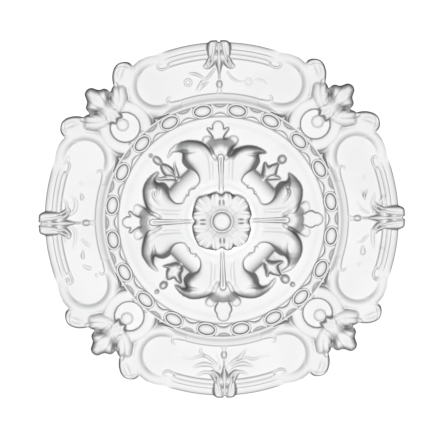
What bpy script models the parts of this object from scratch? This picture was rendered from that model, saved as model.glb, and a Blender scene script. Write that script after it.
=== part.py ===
"""Plaster ceiling rose with four panels, a bead-and-link ring and an acanthus cross.

It is drawn as the plasterer draws it, lying face up: x runs to the right, y to the top of
the face and z is the height above the flat back. The last step turns the casting over, so
that its back lies on the ceiling plane at z = 0 and its face looks down.
"""
import math

import bmesh
import bpy
from mathutils import Matrix, Vector

# Driving sizes in metres
RIM_RADIUS = 0.3705  # outer edge of the panels on the four axes
RING_RADIUS = 0.2290  # centre line of the ring of beads
RING_WIDTH = 0.0340  # width of the channel that the beads lie in
PANEL_END_RADIUS = 0.0626  # rounded end of a panel
PANEL_BORDER = 0.0185  # width of the roll around a panel's end
PANEL_END_BEARING = 24.9  # degrees from the panel's axis to the centre of its end
MOULDING_BEARING = 22.0  # degrees from the panel's axis to the end of its rim moulding
RIM_MOULDING = 0.0330  # width of the stepped moulding along the rim
ROUNDEL_RADIUS = 0.0325  # sunk disc in each corner
ROUNDEL_BORDER = 0.0085
ROUNDEL_GAP = 0.0010  # how far the roundel's border runs into the ring
PEARL_RADIUS = 0.0150
BEAD_LENGTH = 0.0310
BEAD_WIDTH = 0.0185
BUTTON_RADIUS = 0.0197
ROSETTE_RADIUS = 0.0620  # on the four axes, its corners stand further out
CLASP_WIDTH = 0.0500  # leaf knot that grips the rim
SIDE_CLASP_OVERHANG = 0.0090  # left and right knots stand out past the rim
END_CLASP_OVERHANG = 0.0006  # top and bottom knots lie almost flush with it
SLOT_WIDTH = 0.0120  # groove down the middle of each arm
SLOT_DEPTH = 0.0050

# Driving heights above the back in metres
EDGE_HEIGHT = 0.0140
FIELD_HEIGHT = 0.0145
BORDER_HEIGHT = 0.0220
MOULDING_HEIGHT = 0.0190
RING_EDGE_HEIGHT = 0.0265
RING_FLOOR_HEIGHT = 0.0205
LINK_HEIGHT = 0.0275
BEAD_HEIGHT = 0.0320
DISH_EDGE_HEIGHT = 0.0190
DISH_FLOOR_HEIGHT = 0.0120
CORNER_HEIGHT = 0.0110
PEARL_HEIGHT = 0.0190
ARM_HEIGHT = 0.0330
LOBE_HEIGHT = 0.0470
BARREL_HEIGHT = 0.0340
PALMETTE_HEIGHT = 0.0330
BUD_HEIGHT = 0.0260
BUD_DEPTH = 0.0120
BUD_STEP = 0.0015  # each drop of a bud lies this much lower than the one before
ROSETTE_HEIGHT = 0.0560
BUTTON_HEIGHT = 0.0660
LEAF_HEIGHT = 0.0340
EAR_HEIGHT = 0.0190
CLASP_HEIGHT = 0.0290

# Counts and facets
BEADS = 20
PETALS = 8
SQUARENESS = 3.6  # 2 is a circle, and a high number a square
TURN_STEPS = 60  # facets of a full turn, three to each bead
SECTOR_STEP = 4.0  # degrees of one facet along a panel
ROLL_STATIONS = 12  # sections around a panel's end
ROLL_FROM, ROLL_TO = 65.0, 284.0  # degrees around the end, from the rim to the ring

CASTING_GRAIN = 0.0020  # finest detail that the fused skin keeps
FACETS = 9850

# Feet of the carving stand inside the plate, or below the back where it meets the outline
FOOT = 0.0050
FOOT_STEP = 0.00013
THINNEST = 0.0006
BELOW_BACK = -0.0060

PLASTER = (0.80, 0.795, 0.785, 1.0)

# Radii that follow from the driving sizes
RING_INNER = RING_RADIUS - RING_WIDTH / 2
RING_OUTER = RING_RADIUS + RING_WIDTH / 2
DISH_RADIUS = RING_INNER
PANEL_END_ORBIT = RIM_RADIUS + 0.0030 - PANEL_END_RADIUS
ROUNDEL_OUTER = ROUNDEL_RADIUS + ROUNDEL_BORDER
ROUNDEL_ORBIT = RING_OUTER + ROUNDEL_OUTER - ROUNDEL_GAP
FIELD_INNER = RING_OUTER + 0.0080
FIELD_OUTER = RIM_RADIUS - RIM_MOULDING

# The carver's units: each group is drawn in small whole numbers and scaled by these
DISH_UNIT = DISH_RADIUS / 101
CORNER_UNIT = ROUNDEL_RADIUS / 15.4
CLASP_UNIT = CLASP_WIDTH / 24

feet = iter(range(1000))


def link(obj, collection):
    """Put an object into its collection."""
    collection.objects.link(obj)
    return obj


def object_from(name, bm, collection):
    """Turn a bmesh into an object with its faces pointing out."""
    bmesh.ops.recalc_face_normals(bm, faces=bm.faces)
    mesh = bpy.data.meshes.new(name)
    bm.to_mesh(mesh)
    bm.free()
    return link(bpy.data.objects.new(name, mesh), collection)


def turned(name, profile, collection, arc=360.0, steps=TURN_STEPS, place=None):
    """Turn a profile of (radius, height) points about Z with a Screw modifier.

    A full turn starts and ends on the axis. A part turn has a closed profile, and its two
    ends are filled.
    """
    mesh = bpy.data.meshes.new(name)
    count = len(profile)
    edges = [(i, i + 1) for i in range(count - 1)]
    if arc < 360.0:
        edges.append((count - 1, 0))
    mesh.from_pydata([(r, 0.0, z) for r, z in profile], edges, [])
    obj = link(bpy.data.objects.new(name, mesh), collection)
    screw = obj.modifiers.new("Turn", "SCREW")
    screw.angle = math.radians(arc)
    screw.steps = steps
    screw.render_steps = steps
    screw.use_merge_vertices = arc == 360.0
    screw.merge_threshold = 0.00001
    solid = apply_modifiers(obj)
    bm = bmesh.new()
    bm.from_mesh(solid.data)
    bmesh.ops.holes_fill(bm, edges=[e for e in bm.edges if e.is_boundary], sides=0)
    bmesh.ops.transform(bm, matrix=Matrix.Rotation(-math.radians(arc) / 2, 4, "Z"), verts=bm.verts)
    if place is not None:
        bmesh.ops.transform(bm, matrix=place, verts=bm.verts)
    bmesh.ops.recalc_face_normals(bm, faces=bm.faces)
    bm.to_mesh(solid.data)
    bm.free()
    return solid


def apply_modifiers(obj):
    """Swap an object's mesh for the mesh that its modifiers make."""
    graph = bpy.context.evaluated_depsgraph_get()
    mesh = bpy.data.meshes.new_from_object(obj.evaluated_get(graph))
    obj.modifiers.clear()
    old = obj.data
    obj.data = mesh
    bpy.data.meshes.remove(old)
    return obj


def smooth(points, count):
    """Read count points from a Catmull-Rom curve through the given ones."""
    spans = len(points) - 1
    result = []
    for k in range(count):
        t = k * spans / (count - 1)
        i = min(int(t), spans - 1)
        t -= i
        a = points[max(i - 1, 0)]
        b, c = points[i], points[i + 1]
        d = points[min(i + 2, spans)]
        result.append(tuple(
            0.5 * (2 * q + (r - p) * t + (2 * p - 5 * q + 4 * r - s) * t * t
                   + (3 * q - p - 3 * r + s) * t ** 3)
            for p, q, r, s in zip(a, b, c, d)))
    return result


# A leaf's cross-section: (share of the half-width, share of the rise above its ground)
LEAF_SECTION = [(-1.0, 0.0), (-0.92, 0.55), (-0.5, 0.92), (0.0, 1.0), (0.5, 0.92), (0.92, 0.55), (1.0, 0.0)]
THIN_SECTION = [(-1.0, 0.0), (-0.7, 0.8), (0.7, 0.8), (1.0, 0.0)]


def leaf(name, stations, unit, top, ground, collection, count=6, place=Matrix(), section=LEAF_SECTION,
         foot=None):
    """Loft a carved leaf, lobe or stem along a path.

    A station is (x, y, half-width, height): the first three in the carver's units, and the
    height as a share of the top's, in metres above the back. Its sides rise from the
    ground, and its foot stands in the plate below.
    """
    if foot is None:
        foot = FOOT + FOOT_STEP * next(feet)
    path = smooth(stations, count)
    bm = bmesh.new()
    rings = []
    for k, (x, y, half, height) in enumerate(path):
        before = path[max(k - 1, 0)]
        after = path[min(k + 1, count - 1)]
        along = Vector((after[0] - before[0], after[1] - before[1], 0)).normalized()
        across = Vector((-along.y, along.x, 0)) * max(half * unit, THINNEST)
        middle = Vector((x * unit, y * unit, 0))
        rise = max(height * top - ground, THINNEST)
        ring = [middle - across + Vector((0, 0, foot))]
        ring += [middle + across * s + Vector((0, 0, ground + rise * h)) for s, h in section]
        ring.append(middle + across + Vector((0, 0, foot)))
        rings.append([bm.verts.new(place @ p) for p in ring])
    for first, second in zip(rings, rings[1:]):
        for i, corner in enumerate(first):
            j = (i + 1) % len(first)
            bm.faces.new((corner, first[j], second[j], second[i]))
    bm.faces.new(rings[0])
    bm.faces.new(rings[-1])
    return object_from(name, bm, collection)


def dome(name, x, y, radii, height, collection, place=Matrix(), turn=0.0, sides=8, rings=6):
    """Place a sphere squashed to three radii with its top at the given height."""
    bm = bmesh.new()
    bmesh.ops.create_uvsphere(bm, u_segments=sides, v_segments=rings, radius=1.0)
    size = Matrix.Diagonal((radii[0], radii[1], radii[2], 1.0))
    move = Matrix.Translation((x, y, height - radii[2])) @ Matrix.Rotation(turn, 4, "Z")
    bmesh.ops.transform(bm, matrix=place @ move @ size, verts=bm.verts)
    return object_from(name, bm, collection)


def quarter(index):
    """Turn to the top, left, bottom or right of the face."""
    return Matrix.Rotation(math.radians(90.0 * index), 4, "Z")


def diagonal(index):
    """Turn to one of the four corners, first the upper left one."""
    return Matrix.Rotation(math.radians(90.0 * index + 45.0), 4, "Z")


MIRROR = Matrix.Scale(-1.0, 4, (1.0, 0.0, 0.0))


def make_core(collection):
    """Turn the dish and the ring's channel in one piece."""
    lip = RING_WIDTH * 0.09
    profile = [
        (0.0, DISH_FLOOR_HEIGHT),
        (DISH_RADIUS * 0.55, DISH_FLOOR_HEIGHT + 0.0005),
        (DISH_RADIUS * 0.80, (DISH_FLOOR_HEIGHT + DISH_EDGE_HEIGHT) / 2),
        (DISH_RADIUS * 0.95, DISH_EDGE_HEIGHT),
        (DISH_RADIUS, RING_EDGE_HEIGHT),
        (RING_INNER + lip, RING_EDGE_HEIGHT),
        (RING_INNER + 2 * lip, RING_FLOOR_HEIGHT),
        (RING_OUTER - 2 * lip, RING_FLOOR_HEIGHT),
        (RING_OUTER - lip, RING_EDGE_HEIGHT),
        (RING_OUTER + lip, RING_EDGE_HEIGHT - 0.0020),
        (FIELD_INNER + 0.0010, BELOW_BACK),
        (0.0, BELOW_BACK),
    ]
    profile.reverse()
    return turned("core", profile, collection)


def make_ring(collection):
    """Lay the beads around the channel and join each to the next with a link."""
    pitch = math.radians(360.0 / BEADS)
    for i in range(BEADS):
        bead = Matrix.Rotation(pitch * (i + 0.5), 4, "Z")
        dome(f"bead_{i}", 0.0, RING_RADIUS, (BEAD_LENGTH / 2, BEAD_WIDTH / 2, BEAD_WIDTH * 0.45), BEAD_HEIGHT,
             collection, bead, sides=10, rings=8)
        between = Matrix.Rotation(pitch * i, 4, "Z")
        gap = RING_RADIUS * pitch - BEAD_LENGTH
        waist, mouth = RING_WIDTH * 0.20, RING_WIDTH * 0.38
        reach = gap / 2 + BEAD_LENGTH * 0.12
        stations = [(-reach, RING_RADIUS, mouth, 0.93), (0.0, RING_RADIUS, waist, 1.0),
                    (reach, RING_RADIUS, mouth, 0.93)]
        leaf(f"link_{i}", stations, 1.0, LINK_HEIGHT, RING_FLOOR_HEIGHT - 0.002, collection, 3, between,
             THIN_SECTION, RING_FLOOR_HEIGHT - 0.006)


def make_panel(index, collection):
    """Make one panel: its stepped rim, its field and the rolls around its two ends."""
    place = quarter(index) @ Matrix.Rotation(math.radians(90.0), 4, "Z")
    step = RIM_MOULDING / 6
    profile = [
        (RING_OUTER - 0.0030, RING_EDGE_HEIGHT - 0.0060),
        (RING_OUTER + 0.0015, RING_EDGE_HEIGHT - 0.0030),
        (FIELD_INNER, FIELD_HEIGHT),
        (FIELD_OUTER, FIELD_HEIGHT),
        (FIELD_OUTER + 0.0012, MOULDING_HEIGHT),
        (FIELD_OUTER + 2 * step, MOULDING_HEIGHT),
        (FIELD_OUTER + 2.3 * step, MOULDING_HEIGHT - 0.0020),
        (RIM_RADIUS - 2.0 * step, MOULDING_HEIGHT - 0.0020),
        (RIM_RADIUS - 1.8 * step, EDGE_HEIGHT + 0.0010),
        (RIM_RADIUS, EDGE_HEIGHT - 0.0020),
        (RIM_RADIUS, BELOW_BACK - 0.0010),
        (RING_OUTER - 0.0030, BELOW_BACK - 0.0010),
    ]
    arc = 2 * MOULDING_BEARING
    turned(f"sector_{index}", profile, collection, arc, round(arc / SECTOR_STEP), place)
    floor = PANEL_END_RADIUS - PANEL_BORDER * 0.4
    base = [(0.0, BELOW_BACK + 0.0010), (floor, BELOW_BACK + 0.0010), (floor, FIELD_HEIGHT - 0.0002),
            (0.0, FIELD_HEIGHT - 0.0002)]
    for side in (-1, 1):
        end = quarter(index) @ (MIRROR if side > 0 else Matrix())
        end = end @ Matrix.Rotation(math.radians(PANEL_END_BEARING), 4, "Z")
        end = end @ Matrix.Translation((0.0, PANEL_END_ORBIT, 0.0))
        turned(f"field_{index}_{side}", base, collection, 360.0, 20, end)
        leaf(f"roll_{index}_{side}", roll_stations(), 1.0, BORDER_HEIGHT, FIELD_HEIGHT - 0.0030, collection,
             ROLL_STATIONS, end, foot=BELOW_BACK + 0.0005)


def roll_stations():
    """Follow the roll around a panel's end, from the rim to the ring, where it sinks away."""
    half = PANEL_BORDER / 2
    middle = PANEL_END_RADIUS - half
    stations = []
    for k in range(ROLL_STATIONS):
        share = k / (ROLL_STATIONS - 1)
        angle = math.radians(ROLL_FROM + (ROLL_TO - ROLL_FROM) * share)
        low = MOULDING_HEIGHT if share < 0.5 else FIELD_HEIGHT
        height = low + (BORDER_HEIGHT - low) * min(1.0, 5 * share, 5 * (1 - share))
        stations.append((middle * math.cos(angle), middle * math.sin(angle), half, height / BORDER_HEIGHT))
    return stations


# The corner's leaf and ears, in units from the centre of the roundel
LEAF_SPINE = [(0, 13, 6, 0.75), (0, 20, 8, 0.95), (0, 32, 5, 0.8), (0, 42, 6.5, 0.85), (0, 50.5, 3, 0.55)]
LEAF_LOBE = [(-1, 30, 4, 0.75), (-7, 36, 5.5, 0.9), (-12.5, 44, 3, 0.6)]
SIDE_LEAF = [(-5, 20, 7, 0.7), (-15, 24, 9, 0.75), (-26, 28, 8, 0.55)]
EAR = [(-26, 22, 10, 1.0), (-33, 31, 11, 1.0), (-40, 41, 10, 1.0), (-45, 46, 6, 0.85)]


def make_corner(index, collection):
    """Make one corner: the sunk roundel with its pearl, the ears and the acanthus leaf."""
    place = diagonal(index)
    centre = place @ Matrix.Translation((0.0, ROUNDEL_ORBIT, 0.0))
    floor = CORNER_HEIGHT
    border = [
        (0.0, BELOW_BACK - 0.0020),
        (ROUNDEL_OUTER, BELOW_BACK - 0.0020),
        (ROUNDEL_OUTER, BORDER_HEIGHT - 0.0040),
        (ROUNDEL_RADIUS + ROUNDEL_BORDER * 0.6, BORDER_HEIGHT),
        (ROUNDEL_RADIUS + 0.0010, BORDER_HEIGHT - 0.0020),
        (ROUNDEL_RADIUS, floor),
        (0.0, floor),
    ]
    turned(f"roundel_{index}", border, collection, 360.0, 18, centre)
    web = [(0.0, BELOW_BACK - 0.0030), (ROUNDEL_OUTER * 1.32, BELOW_BACK - 0.0030),
           (ROUNDEL_OUTER * 1.32, CORNER_HEIGHT + 0.0015), (0.0, CORNER_HEIGHT - 0.0030)]
    turned(f"web_{index}", web, collection, 360.0, 16, centre)
    pearl = (PEARL_RADIUS, PEARL_RADIUS, PEARL_HEIGHT - floor + 0.002)
    dome(f"pearl_{index}", 0.0, PEARL_RADIUS * 0.3, pearl, PEARL_HEIGHT, collection, centre, sides=10)
    unit = CORNER_UNIT
    ground = CORNER_HEIGHT
    below = BELOW_BACK
    leaf(f"leaf_{index}", LEAF_SPINE, unit, LEAF_HEIGHT, ground, collection, 7, centre, foot=below)
    for side in (-1, 1):
        half = centre @ (MIRROR if side > 0 else Matrix())
        leaf(f"leaf_lobe_{index}_{side}", LEAF_LOBE, unit, LEAF_HEIGHT, ground, collection, 4, half,
             foot=below - 0.0003)
        leaf(f"side_leaf_{index}_{side}", SIDE_LEAF, unit, LEAF_HEIGHT, ground, collection, 4, half,
             foot=below - 0.0006)
        leaf(f"ear_{index}_{side}", EAR, unit, EAR_HEIGHT, ground, collection, 5, half, THIN_SECTION,
             foot=below - 0.0009)


# The clasp's tip, stem and bud, in units from the rim
CLASP_TIP = [(-5, -13, 3, 0.85), (-9, -20, 2.5, 0.75), (-14, -23, 1, 0.62)]
CLASP_STEM = [(0, -28, 1.4, 1.0), (0, -49, 1.6, 1.0)]
CLASP_BUD = (0.0, -41.5, 3.6, 5.0)


def make_clasp(index, collection):
    """Make one clasp: the leaf knot over the rim, its stem and the bud below."""
    overhang = SIDE_CLASP_OVERHANG if index % 2 else END_CLASP_OVERHANG
    place = quarter(index) @ Matrix.Translation((0.0, RIM_RADIUS, 0.0))
    out = overhang / CLASP_UNIT
    unit = CLASP_UNIT
    ground = EDGE_HEIGHT
    below = BELOW_BACK - 0.0015
    knot = [(-6, out, 5.5, 0.85), (-6.2, -6, 6, 1.0), (-6.2, -13, 5, 0.95), (-3, -21, 2.5, 0.8)]
    spear = [(0, out * 0.8, 3, 0.8), (0, -8, 4, 0.9), (0, -20, 4.5, 0.85), (0, -30, 1.2, 0.68)]
    for side in (-1, 1):
        half = place @ (MIRROR if side > 0 else Matrix())
        leaf(f"knot_{index}_{side}", knot, unit, CLASP_HEIGHT, ground, collection, 5, half, foot=below)
        leaf(f"tip_{index}_{side}", CLASP_TIP, unit, CLASP_HEIGHT, FIELD_HEIGHT, collection, 4, half,
             THIN_SECTION)
    leaf(f"spear_{index}", spear, unit, CLASP_HEIGHT, ground, collection, 5, place, foot=below - 0.0002)
    x, y, across, along = (value * unit for value in CLASP_BUD)
    dome(f"clasp_bud_{index}", x, y, (across, along, 0.008), FIELD_HEIGHT + 0.0065, collection, place,
         sides=6, rings=4)
    leaf(f"stem_{index}", CLASP_STEM, unit, FIELD_HEIGHT + 0.004, FIELD_HEIGHT, collection, 2, place,
         THIN_SECTION)


# An arm of the cross with its lobe and palmette, in units from the middle of the dish
ARM = [(0, 12, 20, 0.9), (0, 33, 20, 1.0), (0, 45, 17, 1.1), (0, 58, 15, 1.2), (0, 71, 8, 1.15)]
LOBE = [(-13, 36, 8.5, 0.7), (-13, 50, 9.5, 0.9), (-18, 63, 11, 1.0), (-29, 71.5, 9.5, 1.0),
        (-41, 73, 6.5, 0.85), (-49.5, 67, 2.5, 0.55)]
PALM_LEAF = [(-3, 71, 5, 1.0), (-8, 79, 5.5, 0.9), (-14.5, 84.5, 3.5, 0.75)]
PALM_SPINE = [(0, 66, 7, 1.1), (0, 80, 6, 0.9), (0, 94, 4, 0.75)]
PALM_LOBE = (-7.5, 92.0, 3.6, 4.2)
PALM_TIP = (0.0, 96.5, 5.0, 5.4)
PALM_DEPTH = 0.0140


def make_arm(index, collection):
    """Make one arm of the cross with its two curled lobes and the palmette beyond."""
    place = quarter(index)
    unit = DISH_UNIT
    ground = DISH_FLOOR_HEIGHT
    arm = leaf(f"arm_{index}", ARM, unit, ARM_HEIGHT, ground, collection, 6, place)
    cut_slot(index, arm)
    for side in (-1, 1):
        half = place @ (MIRROR if side > 0 else Matrix())
        leaf(f"lobe_{index}_{side}", LOBE, unit, LOBE_HEIGHT, ground, collection, 9, half)
        leaf(f"palm_leaf_{index}_{side}", PALM_LEAF, unit, PALMETTE_HEIGHT, ground, collection, 4, half)
        x, y, across, along = (value * unit for value in PALM_LOBE)
        dome(f"palm_lobe_{index}_{side}", x, y, (across, along, PALM_DEPTH), PALMETTE_HEIGHT * 0.78,
             collection, half, 0.5, sides=6)
    leaf(f"palm_{index}", PALM_SPINE, unit, PALMETTE_HEIGHT, ground, collection, 5, place)
    x, y, across, along = (value * unit for value in PALM_TIP)
    dome(f"palm_tip_{index}", x, y, (across, along, PALM_DEPTH), PALMETTE_HEIGHT * 0.84, collection, place)


# The roll between two arms, in units from the middle of the dish
BARREL = (0.0, 52.6, 19.0, 11.0)
BUD_STALK = [(0, 62, 1.6, 0.8), (0, 90, 1.2, 0.75)]
CALYX = [(-1, 70, 2.5, 1.0), (-6, 74, 2.4, 1.0), (-8.5, 80, 1, 0.9)]
# Each bud is a calyx and its drops: (distance along the diagonal, length, width)
BUDS = [
    [(69, 5, 4.5), (78, 10, 8), (91, 9, 4.5)],
    [(69, 5, 4.5), (76, 11, 11), (89, 10, 7), (97, 6, 4)],
    [(69, 5, 4.5), (76, 11, 11), (86, 8, 6), (95, 9, 5)],
    [(69, 5, 4.5), (76, 12, 12), (86, 9.5, 9.5)],
]


def make_bud(index, collection):
    """Make the roll between two arms and the bud that grows from it."""
    place = diagonal(index)
    unit = DISH_UNIT
    ground = DISH_FLOOR_HEIGHT
    x, y, across, along = (value * unit for value in BARREL)
    dome(f"barrel_{index}", x, y, (across, along, BARREL_HEIGHT - ground), BARREL_HEIGHT, collection, place,
         sides=12)
    for k, (along, length, width) in enumerate(BUDS[index]):
        dome(f"bud_{index}_{k}", 0.0, along * unit, (width / 2 * unit, length / 2 * unit, BUD_DEPTH),
             BUD_HEIGHT - BUD_STEP * k, collection, place, sides=6, rings=4)
    leaf(f"bud_stalk_{index}", BUD_STALK, unit, BUD_HEIGHT, ground, collection, 2, place, THIN_SECTION)
    for side in (-1, 1):
        half = place @ (MIRROR if side > 0 else Matrix())
        leaf(f"calyx_{index}_{side}", CALYX, unit, BUD_HEIGHT, ground, collection, 4, half, THIN_SECTION)


def flower(name, rings, wave, crease, segments, collection):
    """Loft a rounded square form from rings of (share of the rosette's radius, height).

    The wave scallops its edge, and the crease sinks its top between the petals.
    """
    bm = bmesh.new()
    loops = []
    for share, height in rings:
        loop = []
        for k in range(segments):
            angle = 2 * math.pi * k / segments
            square = abs(math.cos(angle)) ** SQUARENESS + abs(math.sin(angle)) ** SQUARENESS
            petal = math.cos(PETALS * angle)
            radius = ROSETTE_RADIUS * share * square ** (-1 / SQUARENESS) * (1 + wave * petal)
            sunk = crease * (1 - petal) / 2 if height > ARM_HEIGHT else 0.0
            loop.append(bm.verts.new((radius * math.cos(angle), radius * math.sin(angle), height - sunk)))
        loops.append(loop)
    for low, high in zip(loops, loops[1:]):
        for k in range(segments):
            n = (k + 1) % segments
            bm.faces.new((low[k], low[n], high[n], high[k]))
    bm.faces.new(loops[0])
    bm.faces.new(loops[-1])
    return object_from(name, bm, collection)


def make_rosette(collection):
    """Make the petalled flower, the pad that it stands on and its button."""
    pad = [(1.36, FOOT), (1.32, ARM_HEIGHT * 0.86), (1.20, ARM_HEIGHT * 0.95), (0.5, ARM_HEIGHT * 0.95)]
    flower("pad", pad, 0.0, 0.0, 32, collection)
    petals = [(0.97, FOOT), (1.0, ROSETTE_HEIGHT * 0.84), (0.95, ROSETTE_HEIGHT * 0.96),
              (0.74, ROSETTE_HEIGHT), (0.52, ROSETTE_HEIGHT * 0.97), (0.36, ROSETTE_HEIGHT * 0.92)]
    flower("rosette", petals, 0.022, 0.0035, 48, collection)
    button = (BUTTON_RADIUS, BUTTON_RADIUS, BUTTON_HEIGHT - ROSETTE_HEIGHT * 0.91)
    dome("button", 0.0, 0.0, button, BUTTON_HEIGHT, collection, sides=14, rings=8)


def cut_slot(index, arm):
    """Cut the tapered groove down the middle of an arm."""
    place = quarter(index)
    middle = 50 * DISH_UNIT
    half_length = 15.5 * DISH_UNIT
    bm = bmesh.new()
    bmesh.ops.create_cube(bm, size=2.0)
    for vert in bm.verts:
        outer = vert.co.y > 0
        height = ARM_HEIGHT - SLOT_DEPTH if vert.co.z < 0 else LOBE_HEIGHT * 2
        width = SLOT_WIDTH / 2 if outer else SLOT_WIDTH / 5
        vert.co = place @ Vector((vert.co.x * width, middle + vert.co.y * half_length, height))
    cutter = object_from(f"slot_{index}", bm, arm.users_collection[0])
    modifier = arm.modifiers.new("Slot", "BOOLEAN")
    modifier.operation = "DIFFERENCE"
    modifier.solver = "EXACT"
    modifier.object = cutter
    apply_modifiers(arm)
    bpy.data.objects.remove(cutter, do_unlink=True)


def cast(name, pieces, collection):
    """Fuse the overlapping pieces into one skin, as plaster fills a mould."""
    bm = bmesh.new()
    for piece in pieces:
        bm.from_mesh(piece.data)
    obj = object_from(name, bm, collection)
    remesh = obj.modifiers.new("Fuse", "REMESH")
    remesh.mode = "VOXEL"
    remesh.voxel_size = CASTING_GRAIN
    apply_modifiers(obj)
    triangles = sum(len(face.vertices) - 2 for face in obj.data.polygons)
    decimate = obj.modifiers.new("Thin", "DECIMATE")
    decimate.ratio = FACETS / triangles
    return apply_modifiers(obj)


def trim_back(obj):
    """Cut the casting off flat at the height of its back."""
    bm = bmesh.new()
    bm.from_mesh(obj.data)
    geometry = bm.verts[:] + bm.edges[:] + bm.faces[:]
    bmesh.ops.bisect_plane(bm, geom=geometry, dist=0.00001, plane_co=(0, 0, 0), plane_no=(0, 0, -1),
                           clear_outer=True)
    bmesh.ops.holes_fill(bm, edges=[e for e in bm.edges if e.is_boundary], sides=0)
    bmesh.ops.triangulate(bm, faces=bm.faces)
    bmesh.ops.recalc_face_normals(bm, faces=bm.faces)
    bm.to_mesh(obj.data)
    bm.free()


def plaster():
    """Give the casting its matt white finish."""
    material = bpy.data.materials.new("plaster")
    material.use_nodes = True
    shader = material.node_tree.nodes["Principled BSDF"]
    shader.inputs["Base Color"].default_value = PLASTER
    shader.inputs["Roughness"].default_value = 0.85
    shader.inputs["Metallic"].default_value = 0.0
    return material


def new_collection(name):
    collection = bpy.data.collections.new(name)
    bpy.context.scene.collection.children.link(collection)
    return collection


def main():
    for obj in list(bpy.data.objects):
        bpy.data.objects.remove(obj, do_unlink=True)
    rose = new_collection("ceiling_rose")
    carving = new_collection("carving")
    make_core(carving)
    make_ring(carving)
    for index in range(4):
        make_panel(index, carving)
        make_corner(index, carving)
        make_clasp(index, carving)
        make_arm(index, carving)
        make_bud(index, carving)
    make_rosette(carving)
    casting = cast("ceiling_rose", carving.objects, rose)
    for obj in list(carving.objects):
        bpy.data.objects.remove(obj, do_unlink=True)
    trim_back(casting)
    casting.data.transform(Matrix.Rotation(math.pi, 4, "X"))
    casting.data.materials.clear()
    casting.data.materials.append(plaster())


main()
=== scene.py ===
# %% [markdown]
# # A ceiling rose in white plaster
#
# The real thing is one casting of plaster, 76 cm across, that is fixed to a ceiling with its
# face down. A carver made the model for its mould in clay: a dish with a cross of acanthus
# leaves, a ring of beads, four long panels and four leafy corners. This script dresses the
# plain solid of that casting with the fine carving. It opens the frame first, because every
# size below is a share of the box that the solid fills.

# %% Open the frame
import math

import bmesh
import bpy
import numpy as np
from mathutils import Matrix, Vector


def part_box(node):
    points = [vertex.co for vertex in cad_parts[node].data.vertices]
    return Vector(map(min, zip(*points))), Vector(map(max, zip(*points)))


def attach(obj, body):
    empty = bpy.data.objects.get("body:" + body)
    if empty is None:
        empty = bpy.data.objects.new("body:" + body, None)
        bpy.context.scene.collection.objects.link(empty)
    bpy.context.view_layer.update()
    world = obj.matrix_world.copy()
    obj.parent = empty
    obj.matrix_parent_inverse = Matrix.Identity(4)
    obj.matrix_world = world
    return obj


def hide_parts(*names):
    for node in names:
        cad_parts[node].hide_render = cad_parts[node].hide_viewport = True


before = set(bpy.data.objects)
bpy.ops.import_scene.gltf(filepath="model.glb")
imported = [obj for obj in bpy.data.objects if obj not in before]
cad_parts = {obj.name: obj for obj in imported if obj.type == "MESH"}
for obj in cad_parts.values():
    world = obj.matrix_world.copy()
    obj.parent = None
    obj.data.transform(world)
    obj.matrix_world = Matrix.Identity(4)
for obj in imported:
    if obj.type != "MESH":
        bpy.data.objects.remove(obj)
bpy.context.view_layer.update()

low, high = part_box("ceiling_rose")
WIDTH = high.x - low.x
ACROSS = 361.4  # the carver's drawing is this many units wide, from clasp to clasp
UNIT = WIDTH / ACROSS
print(f"the rose is {WIDTH * 1000:.0f} mm wide, and a drawing unit is {UNIT * 1000:.2f} mm")

# %% [markdown]
# ## The view from the room
#
# Someone stands under the rose and looks nearly straight up, a little from the side that is
# the top of the picture. A long lens keeps the far side as large as the near one. The
# camera's matrix is built from three directions, because looking straight up is where a
# camera that only tracks a target likes to spin.

# %% Camera
DISTANCE = 2.118
TILT = math.radians(3.0)
ROLL = math.radians(1.0)
LENS = 85.0
AIM = Vector((-0.0140, -0.0120, -0.020))  # the rose sits a little off the picture's middle

scene = bpy.context.scene
camera = bpy.data.objects.new("camera", bpy.data.cameras.new("camera"))
scene.collection.objects.link(camera)
scene.camera = camera
camera.data.lens = LENS
back = Vector((0.0, -math.sin(TILT), -math.cos(TILT)))
place = AIM + back * DISTANCE
right = Vector((0.0, -1.0, 0.0)).cross(back).normalized()
up = back.cross(right).normalized()
turned_right = right * math.cos(ROLL) - up * math.sin(ROLL)
turned_up = up * math.cos(ROLL) + right * math.sin(ROLL)
axes = Matrix((turned_right, turned_up, back)).transposed()
camera.matrix_world = Matrix.Translation(place) @ axes.to_4x4()
print("camera stands at", [round(v, 3) for v in place])

# %% [markdown]
# ## Light and floor
#
# White plaster shows its carving only through light and shade. One soft lamp near the camera
# leaves every face that looks at us bright and lets each steep side fall dark, which draws
# the leaves' outlines. The room behind stays white to the camera but gives hardly any light
# of its own, because light from all round would fill the shade in. A weak lamp above lights
# the flat back for a view from there. The floor lies well below.

# %% Light and floor
KEY_PLACE = (0.0, 0.15, -3.0)
KEY_SIZE = 0.7
KEY_POWER = 93.5
BACK_PLACE = (0.8, 1.2, 2.5)
BACK_SIZE = 2.0
BACK_POWER = 60.0
ROOM_LIGHT = 0.06
ROOM_WHITE = 1.05
FLOOR_HEIGHT = -3.6
FLOOR_SIZE = 12.0
FLOOR_PAINT = (0.8, 0.8, 0.79, 1)


def lamp(name, place, size, power):
    """Hang a soft square lamp that points at the middle of the rose."""
    data = bpy.data.lights.new(name, "AREA")
    data.size = size
    data.energy = power
    obj = bpy.data.objects.new(name, data)
    obj.location = place
    obj.rotation_euler = Vector(place).to_track_quat("Z", "Y").to_euler()
    scene.collection.objects.link(obj)


lamp("key", KEY_PLACE, KEY_SIZE, KEY_POWER)
lamp("back_light", BACK_PLACE, BACK_SIZE, BACK_POWER)

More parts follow.
